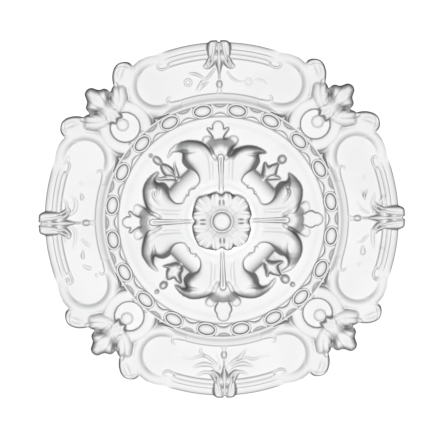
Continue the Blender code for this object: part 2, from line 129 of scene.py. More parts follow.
world = bpy.data.worlds.new("room")
scene.world = world
world.use_nodes = True
nodes, links = world.node_tree.nodes, world.node_tree.links
dim = nodes["Background"]
dim.inputs["Color"].default_value = (1, 1, 1, 1)
dim.inputs["Strength"].default_value = ROOM_LIGHT
white = nodes.new("ShaderNodeBackground")
white.inputs["Color"].default_value = (1, 1, 1, 1)
white.inputs["Strength"].default_value = ROOM_WHITE
seen = nodes.new("ShaderNodeLightPath")
mix = nodes.new("ShaderNodeMixShader")
links.new(seen.outputs["Is Camera Ray"], mix.inputs[0])
links.new(dim.outputs[0], mix.inputs[1])
links.new(white.outputs[0], mix.inputs[2])
links.new(mix.outputs[0], nodes["World Output"].inputs["Surface"])
scene.view_settings.view_transform = "Standard"

bpy.ops.mesh.primitive_plane_add(size=FLOOR_SIZE, location=(0, 0, FLOOR_HEIGHT))
floor = bpy.context.object
floor.name = "floor"
floor_paint = bpy.data.materials.new("floor_paint")
floor_paint.use_nodes = True
floor_paint.node_tree.nodes["Principled BSDF"].inputs["Base Color"].default_value = FLOOR_PAINT
floor.data.materials.append(floor_paint)
print("two lamps, a white room and a floor")

# %% [markdown]
# ## Sums instead of boxes
#
# A finish that changes over a surface is worked out by shader nodes. Such maths is easier to
# read as sums than as boxes and wires, so a small class wraps a node's output and turns
# Python's operators into Math nodes. The ring's Geometry Nodes use it later as well.

# %% Node sums
class Value:
    """A node's output. Sums on values add Math nodes, and add makes any other node."""

    def __init__(self, socket):
        self.socket, self.tree = socket, socket.id_data

    @classmethod
    def add(cls, tree, kind, settings=None, out=0, **inputs):
        """Add a node, set it up, feed its inputs by name or by number as in_0, and give one output."""
        made = tree.nodes.new(kind)
        for key, setting in (settings or {}).items():
            setattr(made, key, setting)
        for key, given in inputs.items():
            socket = made.inputs[int(key[3:]) if key.startswith("in_") else key.replace("_", " ")]
            for value in given if isinstance(given, list) else [given]:
                if isinstance(value, Value):
                    tree.links.new(value.socket, socket)
                else:
                    socket.default_value = value
        return cls(made.outputs[out])

    def math(self, operation, a, b):
        return Value.add(self.tree, "ShaderNodeMath", {"operation": operation}, in_0=a, in_1=b)

    def __add__(self, other):
        return self.math("ADD", self, other)

    def __sub__(self, other):
        return self.math("SUBTRACT", self, other)

    def __rsub__(self, other):
        return self.math("SUBTRACT", other, self)

    def __mul__(self, other):
        return self.math("MULTIPLY", self, other)

    def __truediv__(self, other):
        return self.math("DIVIDE", self, other)

    def __rtruediv__(self, other):
        return self.math("DIVIDE", other, self)

    __radd__ = __add__
    __rmul__ = __mul__

    def between(self, low, high):
        """Run smoothly from 0 at low to 1 at high."""
        return Value.add(self.tree, "ShaderNodeMapRange", {"interpolation_type": "SMOOTHSTEP"},
                         Value=self, From_Min=low, From_Max=high)

    def mix(self, first, second):
        """Blend two colours: the first where this value is 0, the second where it is 1."""
        return Value.add(self.tree, "ShaderNodeMix", {"data_type": "RGBA"}, 2,
                         Factor=self, in_6=first, in_7=second)


print("a Value can be added, subtracted, multiplied and divided like a number")

# %% [markdown]
# ## Plaster
#
# Cast plaster is matt and nearly white. It is never one flat colour: the surface is a little
# chalkier in places. Shade is painted into the colour as well: the steep sides and the
# hollows of the carving are painted greyer than the faces, darker than the lamps alone
# would leave them. The painted shade of the sides is read from the surface's own direction
# and that of the hollows from a value stored in the mesh, so both stay where they are from
# any side. Only the carved face has them, not the back.

# %% Plaster
FACE = (0.800, 0.800, 0.798, 1.0)
CHALK = (0.772, 0.773, 0.775, 1.0)
# painted shade: the grey painted on steep sides, where a lamp by the camera leaves shade
SIDE_SHADE = (0.125, 0.127, 0.130, 1.0)
# painted shade: the grey painted into hollows, where the carving round a point hides it from the room
HOLLOW_SHADE = (0.105, 0.107, 0.110, 1.0)
PATCHES, GRAINS = 9.0, 900.0  # to a metre
CHALKY = (0.42, 0.62)  # the patches turn from plain to chalky between these
OPEN, SHUT = 0.42, 0.95  # how much of the room is hidden from a point: no painted shade below, full painted shade above
UNEVEN_SIDE_SHADE, UNEVEN_HOLLOW_SHADE = 0.06, 0.08  # how far the patches change both painted shades
ROUGH, ROUGH_PATCHES, ROUGH_GRAIN = 0.78, 0.25, 0.10
GRAIN_SHOWN, GRAIN_DEPTH = 0.18, 0.0004
GLOSS = 0.25


def plaster_material():
    """Mix white, chalk and two greys of painted shade, and add a fine grain that shows only close by.
    """
    material = bpy.data.materials.new("plaster")
    material.use_nodes = True
    tree = material.node_tree
    shader = tree.nodes["Principled BSDF"]
    place = Value.add(tree, "ShaderNodeTexCoord", out=3)
    normal = Value.add(tree, "ShaderNodeNewGeometry", out=1)
    facing = Value.add(tree, "ShaderNodeSeparateXYZ", out=2, Vector=normal)
    hollow = Value.add(tree, "ShaderNodeAttribute", {"attribute_name": "hollow"}, 2)
    carved = Value.add(tree, "ShaderNodeAttribute", {"attribute_name": "carved"}, 2)
    patches = Value.add(tree, "ShaderNodeTexNoise", Vector=place, Scale=PATCHES, Detail=4.0)
    grain = Value.add(tree, "ShaderNodeTexNoise", Vector=place, Scale=GRAINS, Detail=2.0)

    body = patches.between(*CHALKY).mix(FACE, CHALK)
    # painted shade: the steeper a carved face, the more of the side grey it is painted; the patches
    # vary it a little
    level = facing * facing + (patches - 0.5) * UNEVEN_SIDE_SHADE * (1 - facing * facing)
    side_shaded = (1 - carved * (1 - level)).mix(SIDE_SHADE, body)
    # painted shade: the more its neighbours hide a point, the more of the hollow grey it is painted
    hollow_shaded = (hollow + (patches - 0.5) * UNEVEN_HOLLOW_SHADE).between(OPEN, SHUT).mix(side_shaded, HOLLOW_SHADE)
    rough = ROUGH + (patches - 0.5) * ROUGH_PATCHES + (grain - 0.5) * ROUGH_GRAIN
    bump = Value.add(tree, "ShaderNodeBump", Strength=GRAIN_SHOWN, Distance=GRAIN_DEPTH,
                     Height=grain + patches * 0.5)
    tree.links.new(hollow_shaded.socket, shader.inputs["Base Color"])
    tree.links.new(rough.socket, shader.inputs["Roughness"])
    tree.links.new(bump.socket, shader.inputs["Normal"])
    shader.inputs["Specular IOR Level"].default_value = GLOSS
    return material


PLASTER = plaster_material()
print("plaster has", len(PLASTER.node_tree.nodes), "nodes")

# %% [markdown]
# ## A sheet of clay
#
# A carver builds low relief on a board: a height for each point of the board. The same idea
# works in code. A grid of points gets heights in millimetres, and a few tools raise them:
# a ridge along a line, a leaf inside an outline, a boss, and a groove pressed in. Modelling
# each leaf as its own solid would need thousands of joins. A sheet needs none, since the
# higher form simply wins. The grid is laid out in rings, so its cells follow the rose.

# %% Lines
FINE = 0.05  # the step in which heights are eased


def smooth(stations, count, closed=False):
    """Read count rows from a smooth curve through the given stations."""
    p = np.array(stations, float)
    spans = len(p) if closed else len(p) - 1
    t = np.linspace(0, spans, count, endpoint=not closed)
    i = np.minimum(t.astype(int), spans - 1)
    t = (t - i)[:, None]
    if closed:
        a, b, c, d = p[i - 1], p[i], p[(i + 1) % spans], p[(i + 2) % spans]
    else:
        a, b, c, d = p[np.maximum(i - 1, 0)], p[i], p[i + 1], p[np.minimum(i + 2, spans)]
    slope, bend = c - a, 2 * a - 5 * b + 4 * c - d
    return 0.5 * (2 * b + slope * t + bend * t**2 + (3 * b - a - 3 * c + d) * t**3)


def turned(stations, degrees, mirror=False):
    """Mirror stations left to right if asked, and turn them about the middle of the rose."""
    cos, sin = math.cos(math.radians(degrees)), math.sin(math.radians(degrees))
    side = -1 if mirror else 1
    return [(side * x * cos - y * sin, side * x * sin + y * cos, *rest) for x, y, *rest in stations]


def laid_at(degrees):
    """Give the function that lays a drawing at this bearing, mirrored first if asked."""
    return lambda stations, mirror=False: turned(stations, degrees, mirror)


def moved(stations, x, y):
    """Shift stations sideways and up."""
    return [(a + x, b + y, *rest) for a, b, *rest in stations]


def circle(x, y, radius, count, *rest):
    """Stations round a circle, the last on the first."""
    turns = np.linspace(0, 2 * math.pi, count)
    return [(x + radius * math.cos(t), y + radius * math.sin(t), *rest) for t in turns]


def steps(values, stops, ease=1.0):
    """Read heights between stops of (place, height), with each corner eased."""
    places, heights = np.array(stops, float).T
    fine = np.arange(places[0], places[-1] + FINE, FINE)
    width = max(int(ease / FINE), 1)
    line = np.pad(np.interp(fine, places, heights), width, mode="edge")
    kernel = np.hanning(width + 2)[1:-1]
    eased = np.convolve(line, kernel / kernel.sum(), mode="same")[width:-width]
    return np.interp(values, fine, eased)


def soft_max(a, b, radius):
    """The higher of two surfaces, with the valley between them filled to a small radius."""
    t = np.clip(0.5 + 0.5 * (a - b) / radius, 0, 1)
    return b + (a - b) * t + radius * t * (1 - t) * 0.5


print("a quarter turn takes (1, 0) to", [round(v) for v in turned([(1, 0)], 90)[0]])

# %% Clay
SECTIONS = {
    "round": lambda s: np.sqrt(np.maximum(1 - s * s, 0)),
    "full": lambda s: np.maximum(1 - np.abs(s) ** 3.2, 0) ** 0.5,
    "flat": lambda s: np.maximum(1 - np.abs(s) ** 6, 0) ** 0.6,
    "soft": lambda s: np.maximum(1 - s * s, 0),
    "bell": lambda s: np.maximum(1 - s * s, 0) ** 2,
}
BOTH = (False, True)  # as drawn, and mirrored
NEIGHBOURS = ((0, 1), (0, -1), (1, 0), (-1, 0), (1, 1), (1, -1), (-1, 1), (-1, -1))
OFF_THE_BOARD = 1e3  # a fall so deep that a point past the sheet's edge never counts


class Clay:
    """A sheet of clay over a grid: x and y in drawing units, height in millimetres."""

    def __init__(self, x, y, height=0.0):
        self.shape = x.shape
        self.x, self.y = x.ravel().astype(float), y.ravel().astype(float)
        self.r = np.hypot(self.x, self.y)
        self.h = np.zeros_like(self.x) + height
        self.inside = np.zeros(len(self.x), bool)

    def near(self, path, margin=0.0):
        """Points inside the box around a path."""
        low, high = path[:, :2].min(0) - margin, path[:, :2].max(0) + margin
        beside = (self.x > low[0]) & (self.x < high[0])
        return np.flatnonzero(beside & (self.y > low[1]) & (self.y < high[1]))

    def along(self, stations, count):
        """Points on a path of (x, y, half-width, height), their share across it and its height."""
        path = smooth(stations, count or 8 * len(stations))
        at = self.near(path, path[:, 2].max())
        x, y = self.x[at], self.y[at]
        best = np.full(len(at), 9.0)
        across, top = np.zeros((2, len(at)))
        for k in range(len(path) - 1):
            ax, ay, aw, ah = path[k]
            dx, dy, dw, dh = path[k + 1] - path[k]
            t = np.clip(((x - ax) * dx + (y - ay) * dy) / (dx * dx + dy * dy + 1e-9), 0, 1)
            ox, oy = x - ax - t * dx, y - ay - t * dy
            s = np.hypot(ox, oy) / np.maximum(aw + t * dw, 0.05)
            closer = s < best
            best = np.where(closer, s, best)
            across = np.where(closer, np.where(dx * oy - dy * ox >= 0, s, -s), across)
            top = np.where(closer, ah + t * dh, top)
        hit = best < 1
        return at[hit], across[hit], top[hit]

    def lift(self, at, form, blend, edge):
        """Let a form win where it is higher. With an edge it counts as part of the outline."""
        if edge:
            self.inside[at] = True
        self.h[at] = soft_max(self.h[at], form, blend)

    def ridge(self, stations, section="round", foot=8.0, blend=0.8, count=0, edge=False):
        """Raise a ridge along a path."""
        at, across, top = self.along(stations, count)
        form = foot + (top - foot) * SECTIONS[section](across)
        self.lift(at, form, blend, edge)

    def press(self, stations, section="bell", count=0):
        """Add a path's height to what is there: a groove where it is negative."""
        at, across, top = self.along(stations, count)
        self.h[at] += top * SECTIONS[section](across)

    def fold(self, lay, *lines, mirrors=(False,)):
        """Press some grooves, each laid in its place, and with both mirrors on both sides."""
        for mirror in mirrors:
            for line in lines:
                self.press(lay(line, mirror))

    def boss(self, spot, radii, height, degrees=0.0, section="round", foot=8.0, blend=0.6, edge=False):
        """Raise an oval boss on a spot, which is a list of one point."""
        [(x, y)] = spot
        cos, sin = math.cos(math.radians(degrees)), math.sin(math.radians(degrees))
        dx, dy = self.x - x, self.y - y
        s = np.hypot((dx * cos + dy * sin) / radii[0], (-dx * sin + dy * cos) / radii[1])
        at = np.flatnonzero(s < 1)
        form = foot + (height - foot) * SECTIONS[section](s[at])
        self.lift(at, form, blend, edge)

    def leaf(self, outline, top, shoulder, foot=None, blend=0.4, wall=0.30, edge=False):
        """Raise what lies inside an outline, rounded over towards its edge across the shoulder.

        The top is one height, or a height for each point of the clay. The wall is the share of
        the rise that stands up steeply at the edge. Without a foot the leaf rises from the clay
        that is there.
        """
        path = smooth(outline, 6 * len(outline), closed=True)
        at = self.near(path)
        x, y = self.x[at], self.y[at]
        gap = np.full(len(at), 1e9)
        odd = np.zeros(len(at), bool)
        for (ax, ay), (bx, by) in zip(path, np.roll(path, -1, 0)):
            dx, dy = bx - ax, by - ay
            t = np.clip(((x - ax) * dx + (y - ay) * dy) / (dx * dx + dy * dy + 1e-9), 0, 1)
            gap = np.minimum(gap, np.hypot(x - ax - t * dx, y - ay - t * dy))
            if by != ay:
                odd ^= ((ay > y) != (by > y)) & (x < ax + dx * (y - ay) / dy)
        at, gap = at[odd], gap[odd]
        high = top[at] if np.ndim(top) else top
        foot = self.h[at] if foot is None else foot
        s = 1 - np.clip(gap / shoulder, 0, 1)
        share = wall + (1 - wall) * np.sqrt(1 - s * s)
        self.lift(at, foot + np.maximum(high - foot, 0) * share, blend, edge)

    def draft(self, slope, rounds):
        """Lean every wall out as a mould needs: none stays steeper than the slope, in mm a unit."""
        n, m = self.shape
        h, x, y = (v.reshape(n, m) for v in (self.h, self.x, self.y))
        slope = np.reshape(slope, (n, m)) if np.ndim(slope) else slope
        closed = np.hypot(x[0, 0] - x[-1, 0], y[0, 0] - y[-1, 0]) < 2
        moves = []
        for move in NEIGHBOURS:
            over_x, over_y = (v - np.roll(v, move, (0, 1)) for v in (x, y))
            fall = slope * np.hypot(over_x, over_y)
            around, out = move
            if out:
                fall[:, 0 if out == 1 else -1] = OFF_THE_BOARD
            if around and not closed:
                fall[0 if around == 1 else -1] = OFF_THE_BOARD
            moves.append((move, fall))
        for _ in range(rounds):
            h = np.maximum.reduce([h] + [np.roll(h, move, (0, 1)) - fall for move, fall in moves])
        self.h = h.ravel()


print("sections of a ridge:", ", ".join(SECTIONS))

# %% [markdown]
# ## From clay to a solid
#
# The sheet becomes a closed piece: its surface on top, walls down its edges and a flat
# floor. Averaging each point with its neighbours once or twice takes the saw teeth off the
# steep walls, which a grid always leaves. Height points down in the room, so the picture's
# up is the frame's minus y. Two values go into the mesh for the plaster, which paints shade
# by them: how much of the room each point's neighbours hide from it, and which faces are
# carved.

# %% Solid from clay
SHARP = math.radians(62.0)


def all_round(count):
    """Angles all round the rose, evenly spaced."""
    return np.linspace(0, 2 * math.pi, count, endpoint=False)


def rings(inner, outer, angles, rows, power=1.0):
    """Points of a ring-shaped grid between two radii, each one number or one for each angle."""
    inner, outer = (np.broadcast_to(radius, angles.shape)[:, None] for radius in (inner, outer))
    r = inner + (outer - inner) * np.linspace(0, 1, rows) ** power
    return r * np.cos(angles)[:, None], r * np.sin(angles)[:, None]


def relax(points, closed, rounds):
    """Ease each grid point towards the middle of its neighbours."""
    for _ in range(rounds):
        around = (np.roll(points, 1, 0) + np.roll(points, -1, 0)) / 2
        middle = points.copy()
        middle[:, 1:-1] = ((points[:, :-2] + points[:, 2:]) / 2 + around[:, 1:-1]) / 2
        if not closed:
            middle[0], middle[-1] = points[0], points[-1]
        points = (points + middle) / 2
    return points


REACH = (1, 2, 4, 7, 11, 16)  # how many grid steps away a point looks for what stands over it
LOOKS = ((0, 1), (0, -1), (2, 0), (-2, 0), (1, 1), (1, -1), (-1, 1), (-1, -1))  # around, outwards


def hollows(points, closed):
    """How much of the room its neighbours hide from each point: 0 in the open, 1 where shut in."""
    hidden = np.zeros(points.shape[:2])
    for around, out in LOOKS:
        horizon = np.zeros_like(hidden)
        for step in REACH:
            other = np.roll(points, (around * step, out * step), (0, 1))
            over_x, over_y, rise = np.moveaxis(points - other, 2, 0)
            slope = rise / np.hypot(over_x, over_y)
            if out:
                slope[:, slice(0, step) if out > 0 else slice(-step, None)] = 0
            if around and not closed:
                reach = abs(around) * step
                slope[slice(0, reach) if around > 0 else slice(-reach, None)] = 0
            horizon = np.maximum(horizon, slope)
        hidden += horizon / np.hypot(horizon, 1) / len(LOOKS)
    return hidden


def finished(name, mesh):
    """Merge, orient and shade a mesh, and make it a piece of the casting."""
    bm = bmesh.new()
    bm.from_mesh(mesh)
    bmesh.ops.remove_doubles(bm, verts=bm.verts, dist=1e-6)
    bmesh.ops.delete(bm, geom=[v for v in bm.verts if not v.link_faces], context="VERTS")
    bmesh.ops.recalc_face_normals(bm, faces=bm.faces)
    bm.to_mesh(mesh)
    bm.free()
    mesh.shade_smooth()
    mesh.set_sharp_from_angle(angle=SHARP)
    mesh.materials.clear()
    mesh.materials.append(PLASTER)
    piece = bpy.data.objects.new(name, mesh)
    scene.collection.objects.link(piece)
    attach(piece, "root")
    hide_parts("ceiling_rose")
    triangles = sum(len(face.vertices) - 2 for face in mesh.polygons)
    print(f"{name}: {triangles} triangles")


def solid(name, clay, floor=0.0, closed=True, disc=False, rounds=2):
    """Close the clay's surface with walls and a flat floor. A disc has no hole in its middle."""
    n, m = clay.shape
    top = np.stack([clay.x * UNIT, -clay.y * UNIT, -clay.h / 1000], axis=1).reshape(n, m, 3)
    top = relax(top, closed, rounds)
    hollow = np.concatenate([hollows(top, closed).ravel(), np.zeros(2 * n)])
    inner, outer = top[:, 0].copy(), top[:, -1].copy()
    inner[:, 2] = outer[:, 2] = -floor / 1000
    points = np.concatenate([top.reshape(-1, 3), inner, outer])
    i = np.arange(n if closed else n - 1)
    j = (i + 1) % n
    cell = np.arange(m - 1)
    a, b = ((k[:, None] * m + cell).ravel() for k in (i, j))
    first, second = n * m, n * m + n
    quads = [(a, a + 1, b + 1, b), (i * m + m - 1, second + i, second + j, j * m + m - 1)]
    faces = []
    if disc:
        faces += [(i * m)[::-1].tolist(), (second + i).tolist()]
    else:
        quads += [(i * m, j * m, first + j, first + i), (first + i, first + j, second + j, second + i)]
    for quad in quads:
        faces += np.stack(quad, axis=1).tolist()
    if not closed:
        for row in (0, n - 1):
            faces.append([row * m + k for k in range(m)] + [second + row, first + row])
    mesh = bpy.data.meshes.new(name)
    mesh.from_pydata(points.tolist(), [], faces)
    # the plaster paints shade by these two values: grey in the hollows, and on the steep sides of
    # carved faces
    mesh.attributes.new("hollow", "FLOAT", "POINT").data.foreach_set("value", hollow)
    carved = [float(max(face) < n * m) for face in faces]
    mesh.attributes.new("carved", "FLOAT", "FACE").data.foreach_set("value", carved)
    finished(name, mesh)


print("an edge stays sharp above", round(math.degrees(SHARP)), "degrees")

# %% [markdown]
# ## The cross of leaves
#
# Four broad arms spring from the middle, and each ends in two lobes that curl over like a
# wave about to break. No two lobes are alike, because they were carved by hand. So each has
# an outline of its own, read off the photograph in drawing units with the arm pointing up.
# The clay is highest along the curl, lower at the root and lowest at the tips.

# %% Lobes
LOBES = {
    (0, False): [
        (-12, 73.5), (-20, 79), (-32.5, 81), (-43, 78.6), (-50.6, 73), (-54, 64), (-47.6, 70.2),
        (-38, 69.6), (-36.7, 63), (-32, 56.5), (-24.5, 50), (-21.4, 42.6),
    ],
    (0, True): [
        (-11, 66), (-18.5, 71.5), (-26.6, 74.2), (-35, 73.6), (-41.5, 71.2), (-46.5, 67.6), (-41, 67.8),
        (-37, 66), (-36.2, 60), (-30.8, 52), (-23.6, 46.4), (-20.6, 40.5),
    ],
    (1, False): [
        (-9.3, 74.6), (-21.3, 79.5), (-32.1, 81), (-40.2, 78), (-47.1, 72.8), (-50.8, 65.5),
        (-45.4, 69.5), (-39, 71), (-33.5, 68.5), (-34.5, 62), (-31.3, 55.2), (-25, 51), (-21.5, 46),
        (-21.5, 38.9),
    ],
    (1, True): [
        (-10.8, 72), (-20.5, 77), (-32.6, 78.3), (-42, 74.8), (-48.5, 68.6), (-50.6, 63), (-45.7, 66.2),
        (-40.4, 67.4), (-37.5, 63), (-35.2, 58.2), (-29.4, 54.6), (-23.5, 52), (-18.4, 46), (-19, 38.5),
    ],
    (2, False): [
        (-9.5, 71.7), (-18.5, 76.8), (-32, 78.5), (-43.7, 74), (-51.2, 67), (-54, 59.6), (-46, 66.5),
        (-40, 68.5), (-36, 66), (-33, 62.9), (-31, 57.5), (-26.4, 53.3), (-21.8, 49.2), (-20.6, 42.5),
    ],
    (2, True): [
        (-9, 72), (-18.5, 76.6), (-30.7, 78.4), (-40.1, 75.6), (-45.8, 70.6), (-49.2, 64.6),
        (-41.5, 68.5), (-36, 67.5), (-37, 62), (-34.3, 57.4), (-28.8, 53.5), (-24.1, 50.5),
        (-21.8, 44.1),
    ],
    (3, False): [
        (-7.5, 73.6), (-16.9, 79.2), (-29, 81.5), (-37.1, 79), (-43, 74.6), (-47.6, 68.4), (-42.5, 69),
        (-38, 66.5), (-35.5, 62), (-29.5, 57), (-23.5, 54.5), (-18, 50), (-15.8, 43.5), (-18.5, 38),
    ],
    (3, True): [
        (-12.6, 72), (-20.9, 78.4), (-30.3, 80.4), (-39, 78.4), (-46, 74.6), (-52, 68.3), (-54, 59),
        (-47.5, 66.4), (-40.8, 67.1), (-34.7, 63.2), (-31.1, 57.9), (-26.3, 52.6), (-22.8, 47.3),
        (-22, 41),
    ],
}
ROOT = [
    (-23.5, 36.8), (-27, 33.4), (-31.6, 31.6), (-29, 25), (-20, 18), (8, 20), (8, 50), (2, 60),
    (-6, 65),
]
BEND = 7  # the point of most outlines where the curl turns in
BENDS = {(1, False): 8, (1, True): 8, (2, False): 8, (3, True): 9}  # and where it is another
LOBE_RISE = [
    (20, 31), (33, 31), (37, 33.8), (41, 35.2), (45, 37.5), (55, 41.5), (63, 45), (70, 47.5),
    (75, 46.5), (81, 41.5), (87, 34), (100, 26),
]
TIP_FALL = [(0, 0), (32, 0), (37, 4), (42, 12), (47, 19), (53, 24), (90, 28)]
TIP_FROM, TIP_RISE = 36, 5.5  # so far to the side, the tip still stands clear of the dish
SHOULDER = 6.5
NEARER = 0.98  # the lobes are nearer to the eye than the dish, so the photograph enlarges them
CREASE = [
    (-9, -1.5, 1.2, -1.5), (-5, 0.8, 2, -4), (-1, 1.2, 2.8, -6), (3, 0.4, 2.8, -6),
    (7.5, 0.4, 2, -4), (13, 1, 1.4, -1),
]
TONGUES = {(1, True), (3, False)}  # these lobes have a second crease
TONGUE = [
    (-32, 64, 1.4, -2), (-30, 66.5, 1.8, -5), (-26, 66.5, 1.8, -5), (-21, 63.5, 1.4, -3),
    (-17, 59, 1.2, -1),
]
FLUTE = [(-9.5, 34, 2.5, -0.8), (-9.5, 48, 3, -2), (-11, 62, 3, -2), (-18, 72, 3, -1)]


def lobe(clay, k, mirror):
    """Carve one lobe: a swelling body, creases under its curl, and a tip that sinks low."""
    lay, turn = laid_at(90 * k), math.radians(90 * k)
    ground = clay.h.copy()
    aside = np.abs(clay.x * math.cos(turn) + clay.y * math.sin(turn))
    top = steps(clay.r, LOBE_RISE, 4) - steps(aside, TIP_FALL, 3)
    top = np.maximum(top, np.where(aside > TIP_FROM, ground + TIP_RISE, 0))
    outline = [(x * NEARER, y * NEARER) for x, y in LOBES[k, mirror] + ROOT]
    clay.leaf(lay(outline, mirror), top, SHOULDER, blend=0.5, wall=0.5)
    bend = outline[BENDS.get((k, mirror), BEND)]
    clay.fold(lay, moved(CREASE, *bend), mirrors=[mirror])
    if (k, mirror) in TONGUES:
        clay.fold(lay, TONGUE, mirrors=[mirror])
    clay.fold(lay, FLUTE, mirrors=[mirror])
    clay.h = np.maximum(clay.h, ground)


print(len(LOBES), "outlines of lobes")

# %% [markdown]
# The arm itself is a low rib with a long tapered slot. Beyond it hangs a small palmette: two
# dark side leaves that fall away steeply, and a light flower that lies on the dish. On two
# arms the flower is a trefoil, on two a rounded bulb.

# %% Arms and palmettes
TREFOIL = [
    (0, 76), (-4.6, 81.6), (-7.4, 86.2), (-11, 90.8), (-9.6, 92.6), (-7.2, 91.4), (-5.6, 90.8),
    (-5.6, 94.2), (-3.4, 97.8), (0, 99),
]
BULB = [
    (0, 76), (-5.6, 82), (-8.2, 86.5), (-8.4, 90.5), (-6.8, 92.6), (-6.2, 96.2), (-3.8, 99.6),
    (0, 100.6),
]
FLOWERS = [(TREFOIL, -2.2), (TREFOIL, 0), (BULB, 0), (BULB, 0)]  # half an outline, and its lean
SIDE_LEAF = [
    (0, 62), (-6.4, 63), (-9.2, 68.5), (-12, 72.8), (-16, 75.6), (-18.4, 79.6), (-16.6, 83.6),
    (-12.4, 84.8), (-8.4, 83.4), (-5.4, 81.6), (0, 83),
]
SIDE_GROWN = [0, 4, 2, 4]  # how much further each palmette's side leaves reach than the first's
SIDE_END = (-6, 75)  # the leaf's points further out than this move with it
SLOT_END = [(0, 66)]  # the side leaves fall with the distance from here
SIDE_FALL = [(0, 44), (6.8, 43.4), (9.5, 40.2), (18.2, 20.2), (23, 19.6), (40, 17)]
SLOTS = [(1.7, 63), (0.7, 68.4), (0.7, 65.4), (0.7, 63.8)]  # half-width within, and the outer end
RIB = [(0, 30, 8, 33), (0, 42, 8, 35.5), (0, 54, 8, 40), (0, 64, 8, 43.5), (0, 69, 6.5, 43)]
VEIN = [(-3.5, 70, 1.6, -0.4), (-6, 77, 2.2, -1.6), (-9, 83, 1.8, -1.6)]


def whole(half):
    """Close half an outline with its mirror image."""
    return half + [(-x, y) for x, y in half[::-1] if x]


def arm(clay, k):
    """Carve an arm's rib, the rim of its slot, the slot itself and the thin tongue in it."""
    lay = laid_at(90 * k)
    inner, end = SLOTS[k]
    rim = [(0, 31, inner + 1.6, 33.5), (0, 40, 3.8, 36.5), (0, 52, 4.7, 41), (0, 60, 5.2, 44.2),
           (0, end + 2.2, 5, 45.4)]
    slot = [(0, 31, inner, -2), (0, 42, 2.1, -3.6), (0, 56, 2.8, -5.2), (0, end, 3.3, -5.8)]
    tongue = [(0, 33, inner - 0.5, 32.6), (0, 48, 1.3, 36.8), (0, 58, 1.7, 40.6),
              (0, end - 1, 2, 42.6)]
    clay.ridge(lay(RIB), "soft", blend=3)
    clay.ridge(lay(rim), "flat", blend=1)
    clay.press(lay(slot), "flat")
    clay.ridge(lay(tongue), foot=20)


def palmette(clay, k):
    """Lay a light flower on the dish, and over its root two leaves that fall away steeply."""
    lay = laid_at(90 * k)
    flower, lean = FLOWERS[k]
    clay.leaf(lay(moved(whole(flower), lean, 0)), top=24.5, shoulder=1.8, foot=11, wall=0.7)
    side = [(x, y + (SIDE_GROWN[k] if x < SIDE_END[0] and y > SIDE_END[1] else 0))
            for x, y in SIDE_LEAF]
    [(x, y)] = lay(SLOT_END)
    top = steps(np.hypot(clay.x - x, clay.y - y), SIDE_FALL, 3)
    clay.leaf(lay(whole(side)), top, shoulder=3, foot=11, blend=1, wall=0.3)
    clay.fold(lay, VEIN, mirrors=BOTH)


print(len(FLOWERS), "arms, each with a slot and a palmette")

# %% [markdown]
# Between the arms lies a smooth roll, and a bud grows from each on a small ball. The four
# buds differ: one is a closed spindle between two wings, and the others open into points.
# One or two drops hang from each tip.

# %% Rolls and buds
SPINDLE = [
    (0, 63.5), (-3, 66), (-6.7, 70.8), (-5.8, 77.5), (-3.2, 81.4), (-0.6, 82), (2.3, 77.2), (2.9, 71.3),
    (1.4, 66.9),
]
STAR = [
    (0, 61.5), (3.4, 62.5), (6.9, 68), (10.8, 73.8), (5.6, 71.4), (4, 75.5), (-2.2, 80), (-5.6, 74.4),
    (-9, 74.6), (-14.6, 73), (-7.4, 68), (-6, 63.1),
]
TULIP = [
    (0, 60), (3.2, 62.3), (5.6, 67), (9.3, 71.7), (4.6, 70.6), (3.2, 74.4), (-1.6, 80.4), (-6.2, 71.8),
    (-13.5, 72.6), (-5.2, 65), (-3, 61),
]
CALYX = [
    (0, 60), (-2.8, 60.8), (-5, 64.1), (-9.6, 71.4), (-4.4, 70.8), (-2.4, 75.1), (1, 80), (4.3, 74.7),
    (6.8, 69.4), (4.7, 64.8), (3.4, 60.8),
]
BUDS = [  # outline, ball, drops as (x, y, across, along)
    (SPINDLE, (-1, 61.1), [(-1.6, 87.6, 3.8, 6), (-2.5, 95.6, 2.1, 2.3)]),
    (STAR, (-1.4, 62.2), [(-3.1, 87, 3.9, 4.8), (-2.7, 96.2, 2.4, 2.8)]),
    (TULIP, (-0.6, 59.8), [(-1.9, 86.2, 4.6, 5.3), (-3.2, 95.2, 2.8, 2.9)]),
    (CALYX, (1.4, 59), [(0.8, 85.4, 4.6, 4.8)]),
]
WINGS = [
    [[(-3.5, 64, 1.6, 21), (-8.7, 69.6, 1.8, 21), (-13.5, 73.5, 1.2, 19), (-13.2, 79, 0.6, 17)],
     [(1.5, 63, 1.6, 21), (5, 69, 1.3, 20), (7, 72, 1, 19), (10.3, 74.5, 0.5, 17)]],
    [], [],
    [[(3, 61, 1.5, 21), (7, 66, 2.2, 22), (10, 69, 1.8, 22), (13.4, 70.2, 0.6, 19)]],
]
ROLL = [(-24, 45.5, 13, 31), (0, 46.5, 13.4, 31), (24, 45.5, 13, 31)]
STALK = [(0, 60, 1.1, 18.5), (0, 84, 0.9, 17)]
BUD_CREASE = [(0, 66, 0.8, -0.6), (0, 72, 1.4, -1.6), (0, 78, 0.6, -0.8)]
BALL, BALL_TOP = (2.6, 2.6), 26


def bud(clay, k):
    """Carve a roll, and the bud that grows out of it."""
    turn = 45 + 90 * k
    lay = laid_at(turn)
    outline, ball, drops = BUDS[k]
    clay.ridge(lay(ROLL), foot=10)
    for twig in WINGS[k] + [STALK]:
        clay.ridge(lay(twig), foot=10, blend=0.5)
    clay.leaf(lay(outline), top=29, shoulder=4.5, foot=11, blend=0.5, wall=0.25)
    clay.fold(lay, BUD_CREASE)
    clay.boss(lay([ball]), BALL, BALL_TOP, foot=12)
    for x, y, *radii in drops:
        clay.boss(lay([(x, y)]), radii, BALL_TOP, turn, foot=12)


print(len(BUDS), "buds")

# %% [markdown]
# The dish is a shallow bowl that rises to the ring. All the forms above are laid on it in
# their order, from the lowest to the highest, since a groove only cuts what is there.

